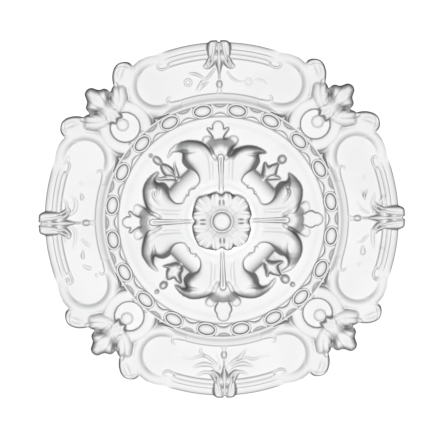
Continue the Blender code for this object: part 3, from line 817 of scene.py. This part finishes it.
# %% Dish with its cross
MIDDLE_HOLE = 22.0  # the rosette covers it
DISH_EDGE = 101.5
DISH_RAYS, DISH_ROWS = 960, 100
DISH = [(0, 12), (50, 12), (70, 13.2), (86, 15.8), (93, 17.6), (97.6, 20), (102, 20.8)]
PAD = [(0, 31), (33, 31), (37, 33.8), (41, 35), (43.5, 31), (46.5, 30), (49, 10), (110, 10)]
DISH_DRAFT = [(20, 5), (70, 5), (77, 12), (110, 12)]  # the steepest fall, in mm a unit
CURLS = [(-4.6, 42.6), (4.2, 43.2)]  # the small nicks where the leaves close round a roll's end
NICK = [(-1, 1.2, 0.9, -2), (0, -0.8, 1.1, -4), (1.2, 0.6, 0.8, -2)]


def cross_and_dish():
    """Carve the dish: rolls and buds, then the pad in the middle, then the leaves over them."""
    clay = Clay(*rings(MIDDLE_HOLE, DISH_EDGE, all_round(DISH_RAYS), DISH_ROWS))
    clay.h = steps(clay.r, DISH, 2.5)
    for k in range(4):
        bud(clay, k)
    clay.h = soft_max(clay.h, steps(clay.r, PAD, 2), 0.6)
    for k in range(4):
        palmette(clay, k)
        lobe(clay, k, False)
        lobe(clay, k, True)
        arm(clay, k)
    for k in range(4):
        clay.fold(laid_at(45 + 90 * k), *[moved(NICK, *place) for place in CURLS])
    clay.draft(steps(clay.r, DISH_DRAFT), rounds=9)
    solid("cross_and_dish", clay, disc=True)


cross_and_dish()

# %% [markdown]
# ## The rosette
#
# A rounded square flower covers the crossing: four broad petals with a pair of slits in each,
# creased leaves in the corners and a button in the middle. Its ruffled edge follows no rule,
# so it is a list of bearings and reaches, read off the photograph round the flower.

# %% Rosette
ROSETTE_FLOOR = 30.0
ROSETTE_EDGE = [  # bearing in degrees from the picture's right, and reach
    (1, 27), (12, 30), (22, 30.4), (34, 31.2), (45, 31.6), (56, 30.3), (65, 28.4), (74, 29.5),
    (84, 28.9), (88, 26.2), (92, 26.4), (100, 29.1), (110, 29.4), (122, 30), (133, 33.2), (139, 32.9),
    (147, 31.4), (157, 30.5), (167, 30), (173, 28.6), (179, 26.2), (188, 29.5), (202, 30.9),
    (215, 31.7), (226, 33.3), (234, 31.9), (244, 30.7), (257, 29.3), (263, 27), (269, 26), (279, 29),
    (287, 29.2), (295, 28), (307, 29.8), (319, 31.6), (329, 30.4), (344, 30), (349, 27.9),
]
ROSETTE_RISE = [(0, 51), (0.36, 51), (0.48, 53), (0.7, 55), (0.84, 54), (0.92, 51), (0.97, 46), (1, 38)]
PETAL_RISE = [(0, 51), (11, 51.5), (16, 56), (22, 58.4), (29, 57.6), (36, 55)]
PETAL = [(0, 8), (-4.5, 9.5), (-8.6, 15), (-10.6, 22), (-9.6, 27.4), (-5, 30), (-1.6, 28.6), (0, 27)]
FOLD = [(0, 12), (-4.5, 17), (-8.5, 24), (-9.5, 29.5), (-5, 32.5), (0, 34)]
DIP = [(0, 21.5, 2, -0.4), (0, 25, 3.4, -2.6), (0, 29, 4, -5)]
SLIT = [(1.7, 15, 0.8, -1), (1.9, 18, 1.1, -3.6), (1.6, 21, 0.9, -2.4)]
CUP = [(7.4, 15, 1.4, -0.4), (8, 22, 2, -1.2), (7, 28.6, 2, -2)]
FOLD_CREASE = [(1.6, 19, 1.4, -0.4), (3, 25, 2, -1.4), (3.8, 32, 2.2, -3)]
BUTTON, BUTTON_TOP, BUTTON_FOOT = (9.4, 9.4), 56.5, 47
GROOVE, GROOVE_WIDTH, GROOVE_DEPTH = 10.2, 1.2, 2.2  # it runs round the button
ROSETTE_RAYS, ROSETTE_ROWS = 480, 76


def petal(clay, k):
    """Carve a cupped petal with its slits, and the creased leaf in the corner beside it."""
    lay, lay_between = laid_at(90 * k), laid_at(90 * k + 45)
    top = steps(clay.r, PETAL_RISE, 2)
    clay.leaf(lay_between(whole(FOLD)), top - 1.2, shoulder=4.4, blend=0.2, wall=0.06)
    clay.leaf(lay(whole(PETAL)), top, shoulder=4.2, blend=0.2, wall=0.1)
    clay.fold(lay, DIP)
    clay.fold(lay, SLIT, CUP, mirrors=BOTH)
    clay.fold(lay_between, FOLD_CREASE, mirrors=BOTH)


def rosette():
    """Carve the flower on a sheet that ends at its ruffled edge."""
    angles = all_round(ROSETTE_RAYS)
    bearing, reach = np.array(ROSETTE_EDGE, float).T
    edge = np.interp(np.degrees(angles), bearing, reach, period=360)
    edge = np.mean([np.roll(edge, shift) for shift in range(-3, 4)], axis=0)
    clay = Clay(*rings(0.35, edge, angles, ROSETTE_ROWS, 0.9))
    clay.h = steps(clay.r / np.repeat(edge, ROSETTE_ROWS), ROSETTE_RISE, 0.06)
    for k in range(4):
        petal(clay, k)
    clay.h -= GROOVE_DEPTH * np.exp(-((clay.r - GROOVE) / GROOVE_WIDTH) ** 2)
    clay.boss([(0, 0)], BUTTON, BUTTON_TOP, section="flat", foot=BUTTON_FOOT, blend=0.2)
    solid("rosette", clay, ROSETTE_FLOOR, disc=True, rounds=1)


rosette()

# %% [markdown]
# ## The panels
#
# Each side of the rose is a long panel bent round the ring, with round ends. Its section
# from the ring to the rim is a moulding, so a list of steps gives it. Near the ends the
# moulding stops and a fat roll runs round instead, and the inner lines end in small hooks.
# The rim is a true arc, the ends are circles, and the longer distance draws the outline.

# %% Panels
END_BEARING = 24.9  # degrees from the panel's axis to the centre of its round end
END_RADIUS = 29.8
END_ORBIT = 148.4
RIM = 176.5
MOULDING_ENDS = [(18.6, 1.2), (20.5, 5.0)]  # inner and outer lines: fade out here, over so many degrees
MOULDING_SPLIT = 163.8  # the radius between the two
PLAIN = [
    (110, 24), (116.5, 25), (118.2, 24), (121, 19.5), (124, 16.6), (127, 15), (140, 14.6), (190, 14.6),
]
MOULDING = [
    (110, 24), (116.5, 25), (118.2, 24), (121, 20.5), (124, 18.6), (125.6, 18.2), (126.2, 15.2),
    (140, 14.6), (159.8, 14.6), (160.6, 18.2), (163.6, 19.2), (164.3, 18.6), (165, 16), (165.7, 18.6),
    (168, 18.8), (168.9, 18.2), (169.7, 15), (170.6, 17), (173.6, 16), (175.4, 14.6), (176.5, 12),
    (190, 12),
]
ROLL_RADIUS = 25.4
ROLL_FROM, ROLL_TO = 62.0, 292.0  # degrees round the end's centre, from the rim to the ring
ROLL_TOP, ROLL_AT_RIM, ROLL_AT_RING = 21.6, 16.2, 15.0
ROLL_CLIMB, ROLL_SINK = 4.5, 6  # how fast it rises from the rim and falls to the ring
ROLL_HALF_WIDTH, ROLL_SWELL = 6.2, 0.6  # at its feet, and how much more at its full height
ROLL_STATIONS = 15
HOOKS = [
    [(-47, 153.7, 1.3, 17.3), (-52, 151.9, 1.5, 17.4), (-55.5, 150.4, 1.6, 17.8),
     (-59, 150.6, 1.6, 17.8), (-61, 153.2, 1.4, 17.6), (-59.2, 155.6, 1.1, 17),
     (-57.2, 154.6, 0.9, 16.6)],
    [(-40, 118.2, 2, 19), (-45, 117.2, 2.2, 18.4), (-49, 117, 2, 18), (-51.5, 119, 1.7, 17.6),
     (-51, 122, 1.4, 17.2), (-49, 122.6, 1, 16.8)],
]


def end_roll(end_x, end_y):
    """Run the roll round a panel's end, low where it meets the rim and the ring."""
    stations = []
    for share in np.linspace(0, 1, ROLL_STATIONS):
        angle = math.radians(ROLL_FROM + (ROLL_TO - ROLL_FROM) * share + END_BEARING)
        rise = min(1.0, ROLL_CLIMB * share, ROLL_SINK * (1 - share))
        start = ROLL_AT_RIM if share < 0.5 else ROLL_AT_RING
        x, y = ROLL_RADIUS * math.cos(angle) - end_x, ROLL_RADIUS * math.sin(angle) + end_y
        half_width = ROLL_HALF_WIDTH + ROLL_SWELL * rise
        stations.append((x, y, half_width, start + (ROLL_TOP - start) * rise))
    return stations


def panel(clay, turn):
    """Run the moulding through a panel's outline, with a roll and two hooks at each end."""
    c, s = math.cos(math.radians(turn)), math.sin(math.radians(turn))
    x, y = clay.x * c + clay.y * s, -clay.x * s + clay.y * c
    side = np.abs(np.degrees(np.arctan2(x, y)))
    end_x = END_ORBIT * math.sin(math.radians(END_BEARING))
    end_y = END_ORBIT * math.cos(math.radians(END_BEARING))
    disc = END_RADIUS - np.hypot(np.abs(x) - end_x, y - end_y)
    sector = np.minimum(RIM - clay.r, (END_BEARING - side) * math.radians(1) * clay.r)
    within = np.where(y > 0, np.maximum(disc, sector), -1)
    clay.inside |= within > 0
    at = np.flatnonzero(within > -0.5)
    inner, outer = (np.clip((end - side[at]) / fade, 0, 1) for end, fade in MOULDING_ENDS)
    window = np.where(clay.r[at] < MOULDING_SPLIT, inner, outer)
    window = window * window * (3 - 2 * window)
    plain = steps(clay.r[at], PLAIN, 0.8)
    form = plain + (steps(clay.r[at], MOULDING, 0.35) - plain) * window
    clay.h[at] = np.maximum(clay.h[at], form)
    for mirror in BOTH:
        clay.ridge(turned(end_roll(end_x, end_y), turn, mirror), "soft", foot=13.5, blend=1, count=90)
        for hook in HOOKS:
            clay.ridge(turned(hook, turn, mirror), blend=0.5)


print("a panel's end is centred", END_BEARING, "degrees from its middle")

# %% [markdown]
# ## The corners
#
# Between two panels sits a round boss in a sunk roundel. A leaf curls out over it and ends
# in a trefoil, with a lobe on each side and an ear that leans on the panel's end.

# %% Corners
EAR = [
    (22, 164), (22, 170.5), (27, 177.2), (33.8, 181.4), (39.8, 182), (45, 179.4), (48.8, 174.6),
    (48, 168), (41, 160), (30, 156),
]
CORNER_LOBE = [
    (2, 147), (5, 157), (8.4, 163), (12.6, 166.6), (17.5, 169), (22, 169.8), (27, 167), (31, 161.6),
    (28.6, 156), (24, 150), (16, 145), (8, 144),
]
CORNER_TIP = [
    (0, 150), (-5, 158.5), (-8.6, 162.6), (-12, 165), (-14.6, 169.6), (-13.4, 174.4), (-9.4, 176.8),
    (-7, 180), (-5, 184), (-1.4, 186),
]
STEM = [
    (0, 157), (-7.5, 153), (-9.4, 146.6), (-5.6, 145), (-2.6, 141.2), (0.6, 144), (4.6, 142),
    (6.8, 146.4), (7.5, 152),
]
ROUNDEL = 133.0
ROUNDEL_RADIUS = 15.4
ROUNDEL_WALL = [(0, 16.5), (ROUNDEL_RADIUS - 0.8, 16.5), (ROUNDEL_RADIUS + 0.6, 40), (250, 40)]
BAND = (20.4, 25, 6.6, 23.5)  # radius, stations, half-width, height: round the roundel
BASE, BASE_TOP = (32, 27), 22.3  # the ground under the whole corner
NECK, NECK_RADII, NECK_TOP = [(0, 158)], (17, 9), 21  # it joins the tip to the ground
SWELL, SWELL_RADII, SWELL_TOP = [(0, 155)], (10, 9), 30  # where the leaf curls out
PEARL, PEARL_RADII, PEARL_TOP = [(0, 136.4)], (6.6, 6.6), 21
STUD, STUD_RADII, STUD_TOP = [(8.6, 117.4)], (2.3, 2.3), 26  # one on each side, by the ring
EAR_FOLDS = [
    [(30, 170, 3, -1), (35, 173.4, 4, -3), (40, 175, 3, -2)],
    [(37, 179.6, 1.2, -1.4), (42.4, 177, 1.8, -3.6), (45, 171.6, 1.2, -2.4)],
]
LOBE_FOLDS = [
    [(10, 153, 2.4, -0.8), (16, 158.6, 3.4, -2), (22.5, 165.4, 3, -3.4), (24.5, 169, 2.4, -4)],
    [(15, 162, 1.4, -0.8), (16.6, 167.6, 1.6, -3)],
]
VALLEYS = [
    [(12.4, 167.4, 1.6, -2), (9.6, 163.8, 2.2, -4), (5.2, 159.6, 1.6, -1)],
    [(4.4, 162, 0.9, -1), (6.4, 170, 1.3, -3.2), (8.4, 180, 1.5, -4)],
    [(7, 163, 0.9, -1), (10.5, 168, 1.2, -2.4), (13, 172, 1.2, -2)],
]
MIDRIB = [(0, 168, 1.2, -0.6), (0, 176, 1.8, -1.8), (0, 185, 1.5, -2.4)]
STEM_FOLD = [(1.6, 155, 1, -0.6), (2.6, 149, 1.4, -2.2), (2.2, 144.6, 1, -2)]


def corner(clay, turn):
    """Carve a corner: base, ears and leaves first, then the roundel sunk in, and its pearl."""
    lay = laid_at(turn)
    middle = lay([(0, ROUNDEL)])
    clay.boss(middle, BASE, BASE_TOP, turn, section="flat", foot=6, blend=0.3, edge=True)
    for mirror in BOTH:
        clay.leaf(lay(EAR, mirror), top=21.5, shoulder=3.4, foot=4, wall=0.1, edge=True)
        clay.fold(lay, *EAR_FOLDS, mirrors=[mirror])
        clay.leaf(lay(CORNER_LOBE, mirror), top=28, shoulder=8, foot=6, blend=1.5, wall=0.12,
                  edge=True)
        clay.fold(lay, *LOBE_FOLDS, mirrors=[mirror])
    clay.boss(lay(NECK), NECK_RADII, NECK_TOP, turn, section="flat", foot=6, blend=0.3, edge=True)
    clay.leaf(lay(whole(CORNER_TIP)), top=31, shoulder=7.5, foot=6, blend=1, wall=0.12, edge=True)
    clay.ridge(lay(circle(0, ROUNDEL, *BAND)), "full", foot=16, blend=2, count=120)
    clay.boss(lay(SWELL), SWELL_RADII, SWELL_TOP, turn, section="soft", foot=20, blend=2)
    clay.fold(lay, *VALLEYS, mirrors=BOTH)
    clay.fold(lay, MIDRIB)
    [(x, y)] = middle
    away = np.hypot(clay.x - x, clay.y - y)
    clay.h = np.minimum(clay.h, steps(away, ROUNDEL_WALL, 0.5))
    clay.boss(lay(PEARL), PEARL_RADII, PEARL_TOP, section="full", foot=14.5, blend=0.3)
    clay.leaf(lay(STEM), top=29, shoulder=3, foot=13, wall=0.4)
    clay.fold(lay, STEM_FOLD, mirrors=BOTH)
    for mirror in BOTH:
        clay.boss(lay(STUD, mirror), STUD_RADII, STUD_TOP, foot=18)


print("a roundel is", round(2 * ROUNDEL_RADIUS * UNIT * 1000), "mm wide")

# %% [markdown]
# ## The clasps and sprays
#
# A knot of leaves grips the rim at the middle of each panel, and a stem with a bud drops
# from it. Thin sprays of leaves are drawn on the fields, hardly more than a line in height.

# %% Clasps
KNOT = [
    (1, 0), (5, 1.2), (9.5, 0.2), (11.8, -5), (11.4, -11), (9.8, -16.5), (7, -21), (4.5, -17), (2, -10),
]
KNOT_HEAD = -6  # the points above this stand out over the rim, and those below stay on it
CLASP_LEAVES = [  # a leaf, and how softly it joins the one before
    ([(3.4, 162, 3, 26), (7, 155.5, 2.6, 23), (11, 151.6, 1.8, 20), (14.5, 151.8, 0.8, 18)], 0.5),
    ([(9.5, 160, 2.2, 24), (12, 155, 1.8, 21), (15.2, 152.8, 1, 18)], 0.4),
]
TWIG = [(0, 150, 1.3, 18.5), (0, 140, 1, 17.6)]
TWIG_BUD, TWIG_BUD_RADII, TWIG_BUD_TOP = [(0, 134.8)], (3.3, 4.6), 21
FORK = [(0.6, 131, 1.2, 17.5), (1.9, 126.4, 1.1, 17.5)]


def clasp(clay, turn, out):
    """Carve a knot that stands so far out over the rim, and a twig with a bud below it."""
    lay = laid_at(turn)
    knot = [(x, RIM + y + (out if y > KNOT_HEAD else 0)) for x, y in KNOT]
    slit = [(6.6, 174 + out, 1.2, -1.8), (7.4, 167, 1.6, -3.6), (8.6, 161, 1.2, -2.2)]
    stem = [(0, 173.6 + out, 2.4, 27), (0, 166, 2.8, 28), (0, 158, 4.2, 27), (0, 152, 2.8, 23),
            (0, 146, 1.2, 19)]
    for mirror in BOTH:
        clay.leaf(lay(knot, mirror), top=29, shoulder=4, foot=6, wall=0.45, edge=True)
        clay.fold(lay, slit, mirrors=[mirror])
        for leaf, blend in CLASP_LEAVES:
            clay.ridge(lay(leaf, mirror), foot=10, blend=blend)
    clay.ridge(lay(stem), blend=0.4, edge=True)
    clay.ridge(lay(TWIG), foot=12, blend=0.4)
    clay.boss(lay(TWIG_BUD), TWIG_BUD_RADII, TWIG_BUD_TOP, turn, foot=12, blend=0.3)
    for mirror in BOTH:
        clay.ridge(lay(FORK, mirror), foot=12, blend=0.3)


print("a clasp's knot is", round(2 * max(x for x, y in KNOT) * UNIT * 1000), "mm wide")

# %% Sprays
TOP_SPRAY = [
    [(-8, 150, 1.2, 1.4), (-14, 142, 1.4, 1.4), (-21, 136.5, 0.8, 0.9)],
    [(-33, 145.4, 1, 0.8), (-26, 144.5, 1.7, 1.6), (-19, 141, 1, 1)],
    [(-14, 137, 0.8, 0.9), (-20, 133, 1.8, 1.7), (-24.6, 126.8, 0.6, 0.6)],
    [(-20, 139, 0.8, 0.8), (-23, 133, 1.4, 1.3), (-26, 127.5, 0.6, 0.6)],
    [(4.7, 147, 1, 1), (10, 140.5, 1.2, 1.2), (17, 137.5, 0.8, 0.9), (22, 138, 0.7, 0.6)],
    [(33, 139.5, 0.9, 0.7), (39, 139, 1, 0.8), (43.5, 135.5, 0.7, 0.6)],
]
BOTTOM_SPRAY = [
    [(-4, -150, 2, 1.6), (-9, -146, 1.9, 2), (-18, -144.5, 2.6, 2.4), (-28, -147.6, 0.9, 0.8)],
    [(-2, -148, 1.6, 1.6), (-9, -140.5, 1.7, 1.9), (-16, -136, 1.8, 1.8), (-22, -136.5, 1.5, 1.6),
     (-30, -139, 0.9, 1), (-39, -137.5, 0.8, 0.8)],
    [(-17, -136, 1.2, 1.4), (-20.5, -131.5, 1.4, 1.6), (-19.5, -127.5, 0.7, 0.8)],
    [(-8, -157, 2.2, 1.6), (-12, -153, 1.8, 2), (-18, -153, 1.7, 1.8), (-25, -156.6, 0.9, 0.9)],
    [(8, -150, 2, 1.6), (13, -146, 1.9, 2), (22, -143.5, 2.8, 2.4), (32, -146.4, 0.9, 0.8)],
    [(6, -148, 1.6, 1.6), (12, -141.5, 1.8, 1.9), (19, -137, 2.4, 2.2), (25, -128.5, 0.9, 0.9)],
    [(17, -139.5, 1.4, 1.5), (25, -137.5, 1.4, 1.5), (32, -139, 1.5, 1.6), (40, -136.5, 0.9, 1),
     (48, -135, 0.8, 0.8)],
    [(12, -157, 2.2, 1.6), (16, -152.5, 1.8, 2), (21, -152, 1.7, 1.8), (26.5, -154.6, 0.9, 0.9)],
    [(-1, -150, 1.2, 1.4), (-2.4, -140, 1, 1), (-5, -131, 0.7, 0.6)],
    [(5, -150, 1.2, 1.4), (6.4, -140, 1, 1), (9, -131, 0.7, 0.6)],
]
LEFT_SPRAY = [
    [(-160, 3, 1.6, 2), (-155, 9, 1.7, 2.2), (-154.5, 16, 1.4, 1.8), (-158, 20, 1, 1.2)],
    [(-152, 4, 1.4, 1.4), (-146.5, 9, 2.2, 1.8), (-145, 17, 2.2, 1.6), (-149, 24, 0.9, 0.8)],
    [(-139.6, 26, 0.8, 1.4), (-139, 22.5, 2.2, 2.4), (-139.4, 20.5, 1.4, 2)],
    [(-140, 36.5, 1.8, 1), (-137, 34.5, 1, 0.7)],
    [(-158, -10, 1.5, 1.8), (-156, -17, 1.4, 1.6), (-156.5, -23, 0.9, 1)],
    [(-152, -6, 1.4, 1.3), (-146, -12, 1.9, 1.6), (-146.4, -23, 1.6, 1.2), (-149, -31, 0.8, 0.6)],
    [(-139, -20, 1.2, 1.2), (-134.5, -24, 1.7, 1.6), (-131, -27, 0.9, 0.9)],
    [(-138, -31, 0.9, 1.5), (-138.5, -36.5, 2.2, 2.5), (-137.6, -38, 1.2, 1.6)],
    [(-137, -46, 1.6, 1.4), (-132.6, -48.5, 2.1, 2), (-129.5, -47.5, 0.9, 0.8)],
    [(-124.6, -55, 1.6, 1.6), (-124.2, -57, 1, 1)],
    [(-153.6, -60, 2.4, 2.4), (-152.8, -62, 1.6, 1.8)],
    [(-153.4, 60.6, 2.6, 1.2), (-152.6, 62, 1.6, 0.9)],
]
RIGHT_SPRAY = [
    [(152, 9, 1.6, 1.8), (150, 18, 2.4, 1.8), (152, 28, 0.9, 0.8)],
    [(146, 8, 1.2, 1.4), (139, 12, 1.3, 1.3), (134.5, 20, 0.8, 0.7)],
    [(142, 22, 0.8, 1.6), (141.6, 26.5, 2, 2.4), (144.5, 31, 0.8, 1.2)],
    [(141.6, 26, 1.2, 2), (138, 30.5, 0.8, 1)],
    [(157, 12, 1.4, 1.8), (157.6, 20, 1.2, 1.6), (160.5, 25, 1.1, 1.6), (163.4, 20, 1.2, 1.6),
     (163, 12, 1.2, 1.4)],
    [(141, 43, 1.6, 1), (141, 46.5, 0.8, 0.7)],
    [(150, -8, 1.5, 1.6), (150.6, -18, 2.2, 1.8), (151.5, -27.5, 0.9, 0.8)],
    [(146, -14, 1, 1.2), (142, -17, 1.3, 1.8), (140, -20, 1.1, 1.6), (134, -21, 0.7, 0.9)],
    [(140.4, -25, 1.2, 1.5), (141, -30.5, 3, 2.6), (140, -32.5, 1.4, 1.8)],
    [(136, -43.5, 1.8, 1), (139, -41.5, 1, 0.8)],
    [(159, -26.5, 1, 1.4), (162, -27, 0.8, 1.2)],
    [(154, -57.5, 2.4, 1.6), (158, -58.5, 1.4, 1.2)],
]
SPRAYS = [(TOP_SPRAY, 2.2), (BOTTOM_SPRAY, 1.5), (LEFT_SPRAY, 1.4), (RIGHT_SPRAY, 1.4)]
RINGLETS = [(-34, 136.3, 2.6), (25.6, 137, 1.6)]  # x, y and height
RINGLET = (3.1, 13, 1.25)  # radius, stations and half-width
PICTURE_TURN = -1.3  # the sprays were read off the photograph, which shows the rose turned a little


def sprays(clay):
    """Draw the sprays, each set raised so that it shows as strongly as in the photograph."""
    for strokes, strength in SPRAYS:
        for stroke in strokes:
            raised = [(x, y, width, height * strength) for x, y, width, height in stroke]
            clay.press(turned(raised, PICTURE_TURN), "soft")
    for x, y, height in RINGLETS:
        clay.press(turned(circle(x, y, *RINGLET, height), PICTURE_TURN), "soft", 40)


print(sum(len(strokes) for strokes, strength in SPRAYS), "strokes in the sprays")

# %% [markdown]
# The outer zone is one sheet cut into four pieces, because a mesh of it all would be heavy to
# handle. The cuts run through the plain part of the panels, where the section is the same on
# both sides, so they don't show. To find the outline, a coarse sheet is carved first and the
# last point inside the carving is looked up along each ray.

# %% Outer zone
INNER_EDGE = 116.8
CUT = 18.5  # degrees from a panel's axis to the cut
AROUND = 1440
OUTER_ROWS = 105
PLATE = 6.0  # the casting's thickness at the rim, in mm
OUTER_DRAFT = 7.2  # the steepest fall, in mm a unit
SIDE_OUT, END_OUT = 4.2, 0.3  # the clasps stand so far out, left and right, top and bottom
NAMES = ["rim_top_left", "rim_bottom_left", "rim_bottom_right", "rim_top_right"]


def carve_outer(clay):
    """Carve all that lies outside the ring: the panels cover the corners, the clasps the panels."""
    for k in range(4):
        corner(clay, 90 * k + 45)
    for k in range(4):
        panel(clay, 90 * k)
    sprays(clay)
    for k in range(4):
        clasp(clay, 90 * k, SIDE_OUT if k % 2 else END_OUT)


def outline(angles):
    """Find the carving's outer edge along each ray."""
    radii = np.arange(150, 192, 0.2)
    probe = Clay(np.cos(angles)[:, None] * radii, np.sin(angles)[:, None] * radii)
    carve_outer(probe)
    inside = probe.inside.reshape(probe.shape)
    return radii[len(radii) - 1 - np.argmax(inside[:, ::-1], axis=1)]


def outer_zone():
    """Carve the four quarters, each from the same drawing on its own part of the sheet."""
    angles = all_round(AROUND)
    edge = outline(angles)
    start = round((90 - CUT) / 360 * AROUND)
    for k, name in enumerate(NAMES):
        rays = (start + k * (AROUND // 4) + np.arange(AROUND // 4 + 1)) % AROUND
        clay = Clay(*rings(INNER_EDGE, edge[rays], angles[rays], OUTER_ROWS), PLATE)
        carve_outer(clay)
        clay.draft(OUTER_DRAFT, rounds=5)
        solid(name, clay, closed=False)


outer_zone()

# %% [markdown]
# ## The ring of beads and links
#
# Twenty oval beads lie in a channel, each in a thin collar, with a waisted link between each
# two. That is one bead and one link, repeated round a circle, so Geometry Nodes make them:
# points on a circle, an instance on each, all turned to face the middle. Realize Instances
# makes them real, because an export drops instances.

# %% Channel
RING_INNER, RING_OUTER = 100.8, 117.2
RING_RAYS, RING_ROWS = 480, 40
CHANNEL = [
    (100, 20.4), (101.9, 20.9), (104.4, 17.2), (112, 18.6), (114, 20.4), (115.6, 24), (116.4, 25.2),
    (118.5, 24.6),
]


def channel():
    """Turn the channel that the beads lie in, with its thin inner rail and its outer roll."""
    clay = Clay(*rings(RING_INNER, RING_OUTER, all_round(RING_RAYS), RING_ROWS))
    clay.h = steps(clay.r, CHANNEL, 0.6)
    solid("ring_channel", clay, rounds=0)


channel()

# %% A tree for the ring
RING = {
    "Beads": 20, "Orbit": 109.6 * UNIT,
    "Bead Length": 15.8 * UNIT, "Bead Width": 10.0 * UNIT, "Bead Rise": 0.0050,
    "Bead Middle": 0.0222,
    "Collar Length": 18.8 * UNIT, "Collar Width": 12.6 * UNIT, "Collar Thickness": 2.6 * UNIT,
    "Collar Middle": 0.0230, "Collar Stretch": 1.2,
    "Link Length": 17.0 * UNIT, "Link Mouth": 14.0 * UNIT, "Link Waist": 7.0 * UNIT,
    "Link Rise": 0.0060, "Link Scoop": 0.35, "Link Drop": 0.0010, "Link Middle": 0.0205,
}


def new_tree(name, sizes):
    """Make a Geometry Nodes tree with a named input for each size. Give it and its inputs."""
    tree = bpy.data.node_groups.new(name, "GeometryNodeTree")
    for key, size in sizes.items():
        kind = "NodeSocketInt" if isinstance(size, int) else "NodeSocketFloat"
        tree.interface.new_socket(key, in_out="INPUT", socket_type=kind)
    tree.interface.new_socket("Geometry", in_out="OUTPUT", socket_type="NodeSocketGeometry")
    group = tree.nodes.new("NodeGroupInput")
    return tree, {key: Value(group.outputs[key]) for key in sizes}


def vector(tree, x=0.0, y=0.0, z=0.0):
    """Join three numbers or values into one vector."""
    return Value.add(tree, "ShaderNodeCombineXYZ", X=x, Y=y, Z=z)


def transform(tree, shape, **inputs):
    """Move, turn or scale a shape."""
    return Value.add(tree, "GeometryNodeTransform", Geometry=shape, **inputs)


def along_ring(tree, points, piece):
    """Stand a copy of the piece on each point, turned to face the middle of the rose."""
    outward = Value.add(tree, "GeometryNodeInputPosition")
    turn = Value.add(tree, "FunctionNodeAlignRotationToVector", {"axis": "Y", "pivot_axis": "Z"},
                     Vector=outward)
    return Value.add(tree, "GeometryNodeInstanceOnPoints", Points=points, Instance=piece,
                     Rotation=turn)


print(RING["Beads"], "beads on a circle", round(2000 * RING["Orbit"]), "mm wide")

# %% Bead, collar and link
def bead_in_collar(tree, size):
    """An oval bead with a thin collar round it, lying along x."""
    ball = Value.add(tree, "GeometryNodeMeshUVSphere", Segments=32, Rings=16, Radius=1.0)
    half = vector(tree, size["Bead Length"] * 0.5, size["Bead Width"] * 0.5, size["Bead Rise"])
    bead = transform(tree, ball, Translation=vector(tree, z=0 - size["Bead Middle"]), Scale=half)
    unit = Value.add(tree, "GeometryNodeCurvePrimitiveCircle", Resolution=40, Radius=1.0)
    half = vector(tree, size["Collar Length"] * 0.5, size["Collar Width"] * 0.5, 1.0)
    oval = transform(tree, unit, Scale=half)
    wire = Value.add(tree, "GeometryNodeCurvePrimitiveCircle", Resolution=12,
                     Radius=size["Collar Thickness"] * 0.5)
    tube = Value.add(tree, "GeometryNodeCurveToMesh", Curve=oval, Profile_Curve=wire)
    collar = transform(tree, tube, Translation=vector(tree, z=0 - size["Collar Middle"]),
                       Scale=vector(tree, 1.0, 1.0, size["Collar Stretch"]))
    return Value.add(tree, "GeometryNodeJoinGeometry", Geometry=[bead, collar])


def link(tree, size):
    """A waisted bar along x that splays towards both ends, with a scoop in each end."""
    rod = Value.add(tree, "GeometryNodeMeshCylinder", Vertices=24, Side_Segments=14,
                    Radius=1.0, Depth=2.0)
    here = Value.add(tree, "GeometryNodeInputPosition")
    across, rise, along = (Value.add(tree, "ShaderNodeSeparateXYZ", out=k, Vector=here)
                           for k in range(3))
    end = along * along
    half_width = (size["Link Waist"] + (size["Link Mouth"] - size["Link Waist"]) * end) * 0.5
    scoop = 1 - size["Link Scoop"] * end * (1 - across * across)
    height = size["Link Rise"] * scoop - size["Link Drop"] * end
    shaped = vector(tree, along * size["Link Length"] * 0.5, across * half_width,
                    height * rise - size["Link Middle"])
    return Value.add(tree, "GeometryNodeSetPosition", Geometry=rod, Position=shaped)


print("a bead is", round(1000 * RING["Bead Length"]), "mm long")

# %% Ring of beads
def ring_of_beads():
    """Grow the ring on an empty mesh, and keep the result as a plain mesh."""
    tree, size = new_tree("ring_of_beads", RING)
    points = Value.add(tree, "GeometryNodeMeshCircle", Vertices=size["Beads"], Radius=size["Orbit"])
    links_done = along_ring(tree, points, link(tree, size))
    between = transform(tree, points, Rotation=vector(tree, z=math.pi / size["Beads"]))
    beads_done = along_ring(tree, between, bead_in_collar(tree, size))
    both = Value.add(tree, "GeometryNodeJoinGeometry", Geometry=[links_done, beads_done])
    real = Value.add(tree, "GeometryNodeRealizeInstances", Geometry=both)
    # the ring is marked carved, so the plaster paints shade on its steep sides
    carved = Value.add(tree, "GeometryNodeStoreNamedAttribute",
                       {"data_type": "FLOAT", "domain": "FACE"},
                       Geometry=real, Name="carved", Value=1.0)
    painted = Value.add(tree, "GeometryNodeSetMaterial", Geometry=carved, Material=PLASTER)
    tree.links.new(painted.socket, tree.nodes.new("NodeGroupOutput").inputs[0])

    holder = bpy.data.objects.new("ring_holder", bpy.data.meshes.new("ring_holder"))
    scene.collection.objects.link(holder)
    grown = holder.modifiers.new("ring_of_beads", "NODES")
    grown.node_group = tree
    for socket in tree.interface.items_tree:
        if socket.in_out == "INPUT":
            grown[socket.identifier] = RING[socket.name]
    bpy.context.view_layer.update()
    evaluated = holder.evaluated_get(bpy.context.evaluated_depsgraph_get())
    mesh = bpy.data.meshes.new_from_object(evaluated)
    bpy.data.objects.remove(holder)
    mesh.name = "beads_and_links"
    finished("beads_and_links", mesh)


ring_of_beads()
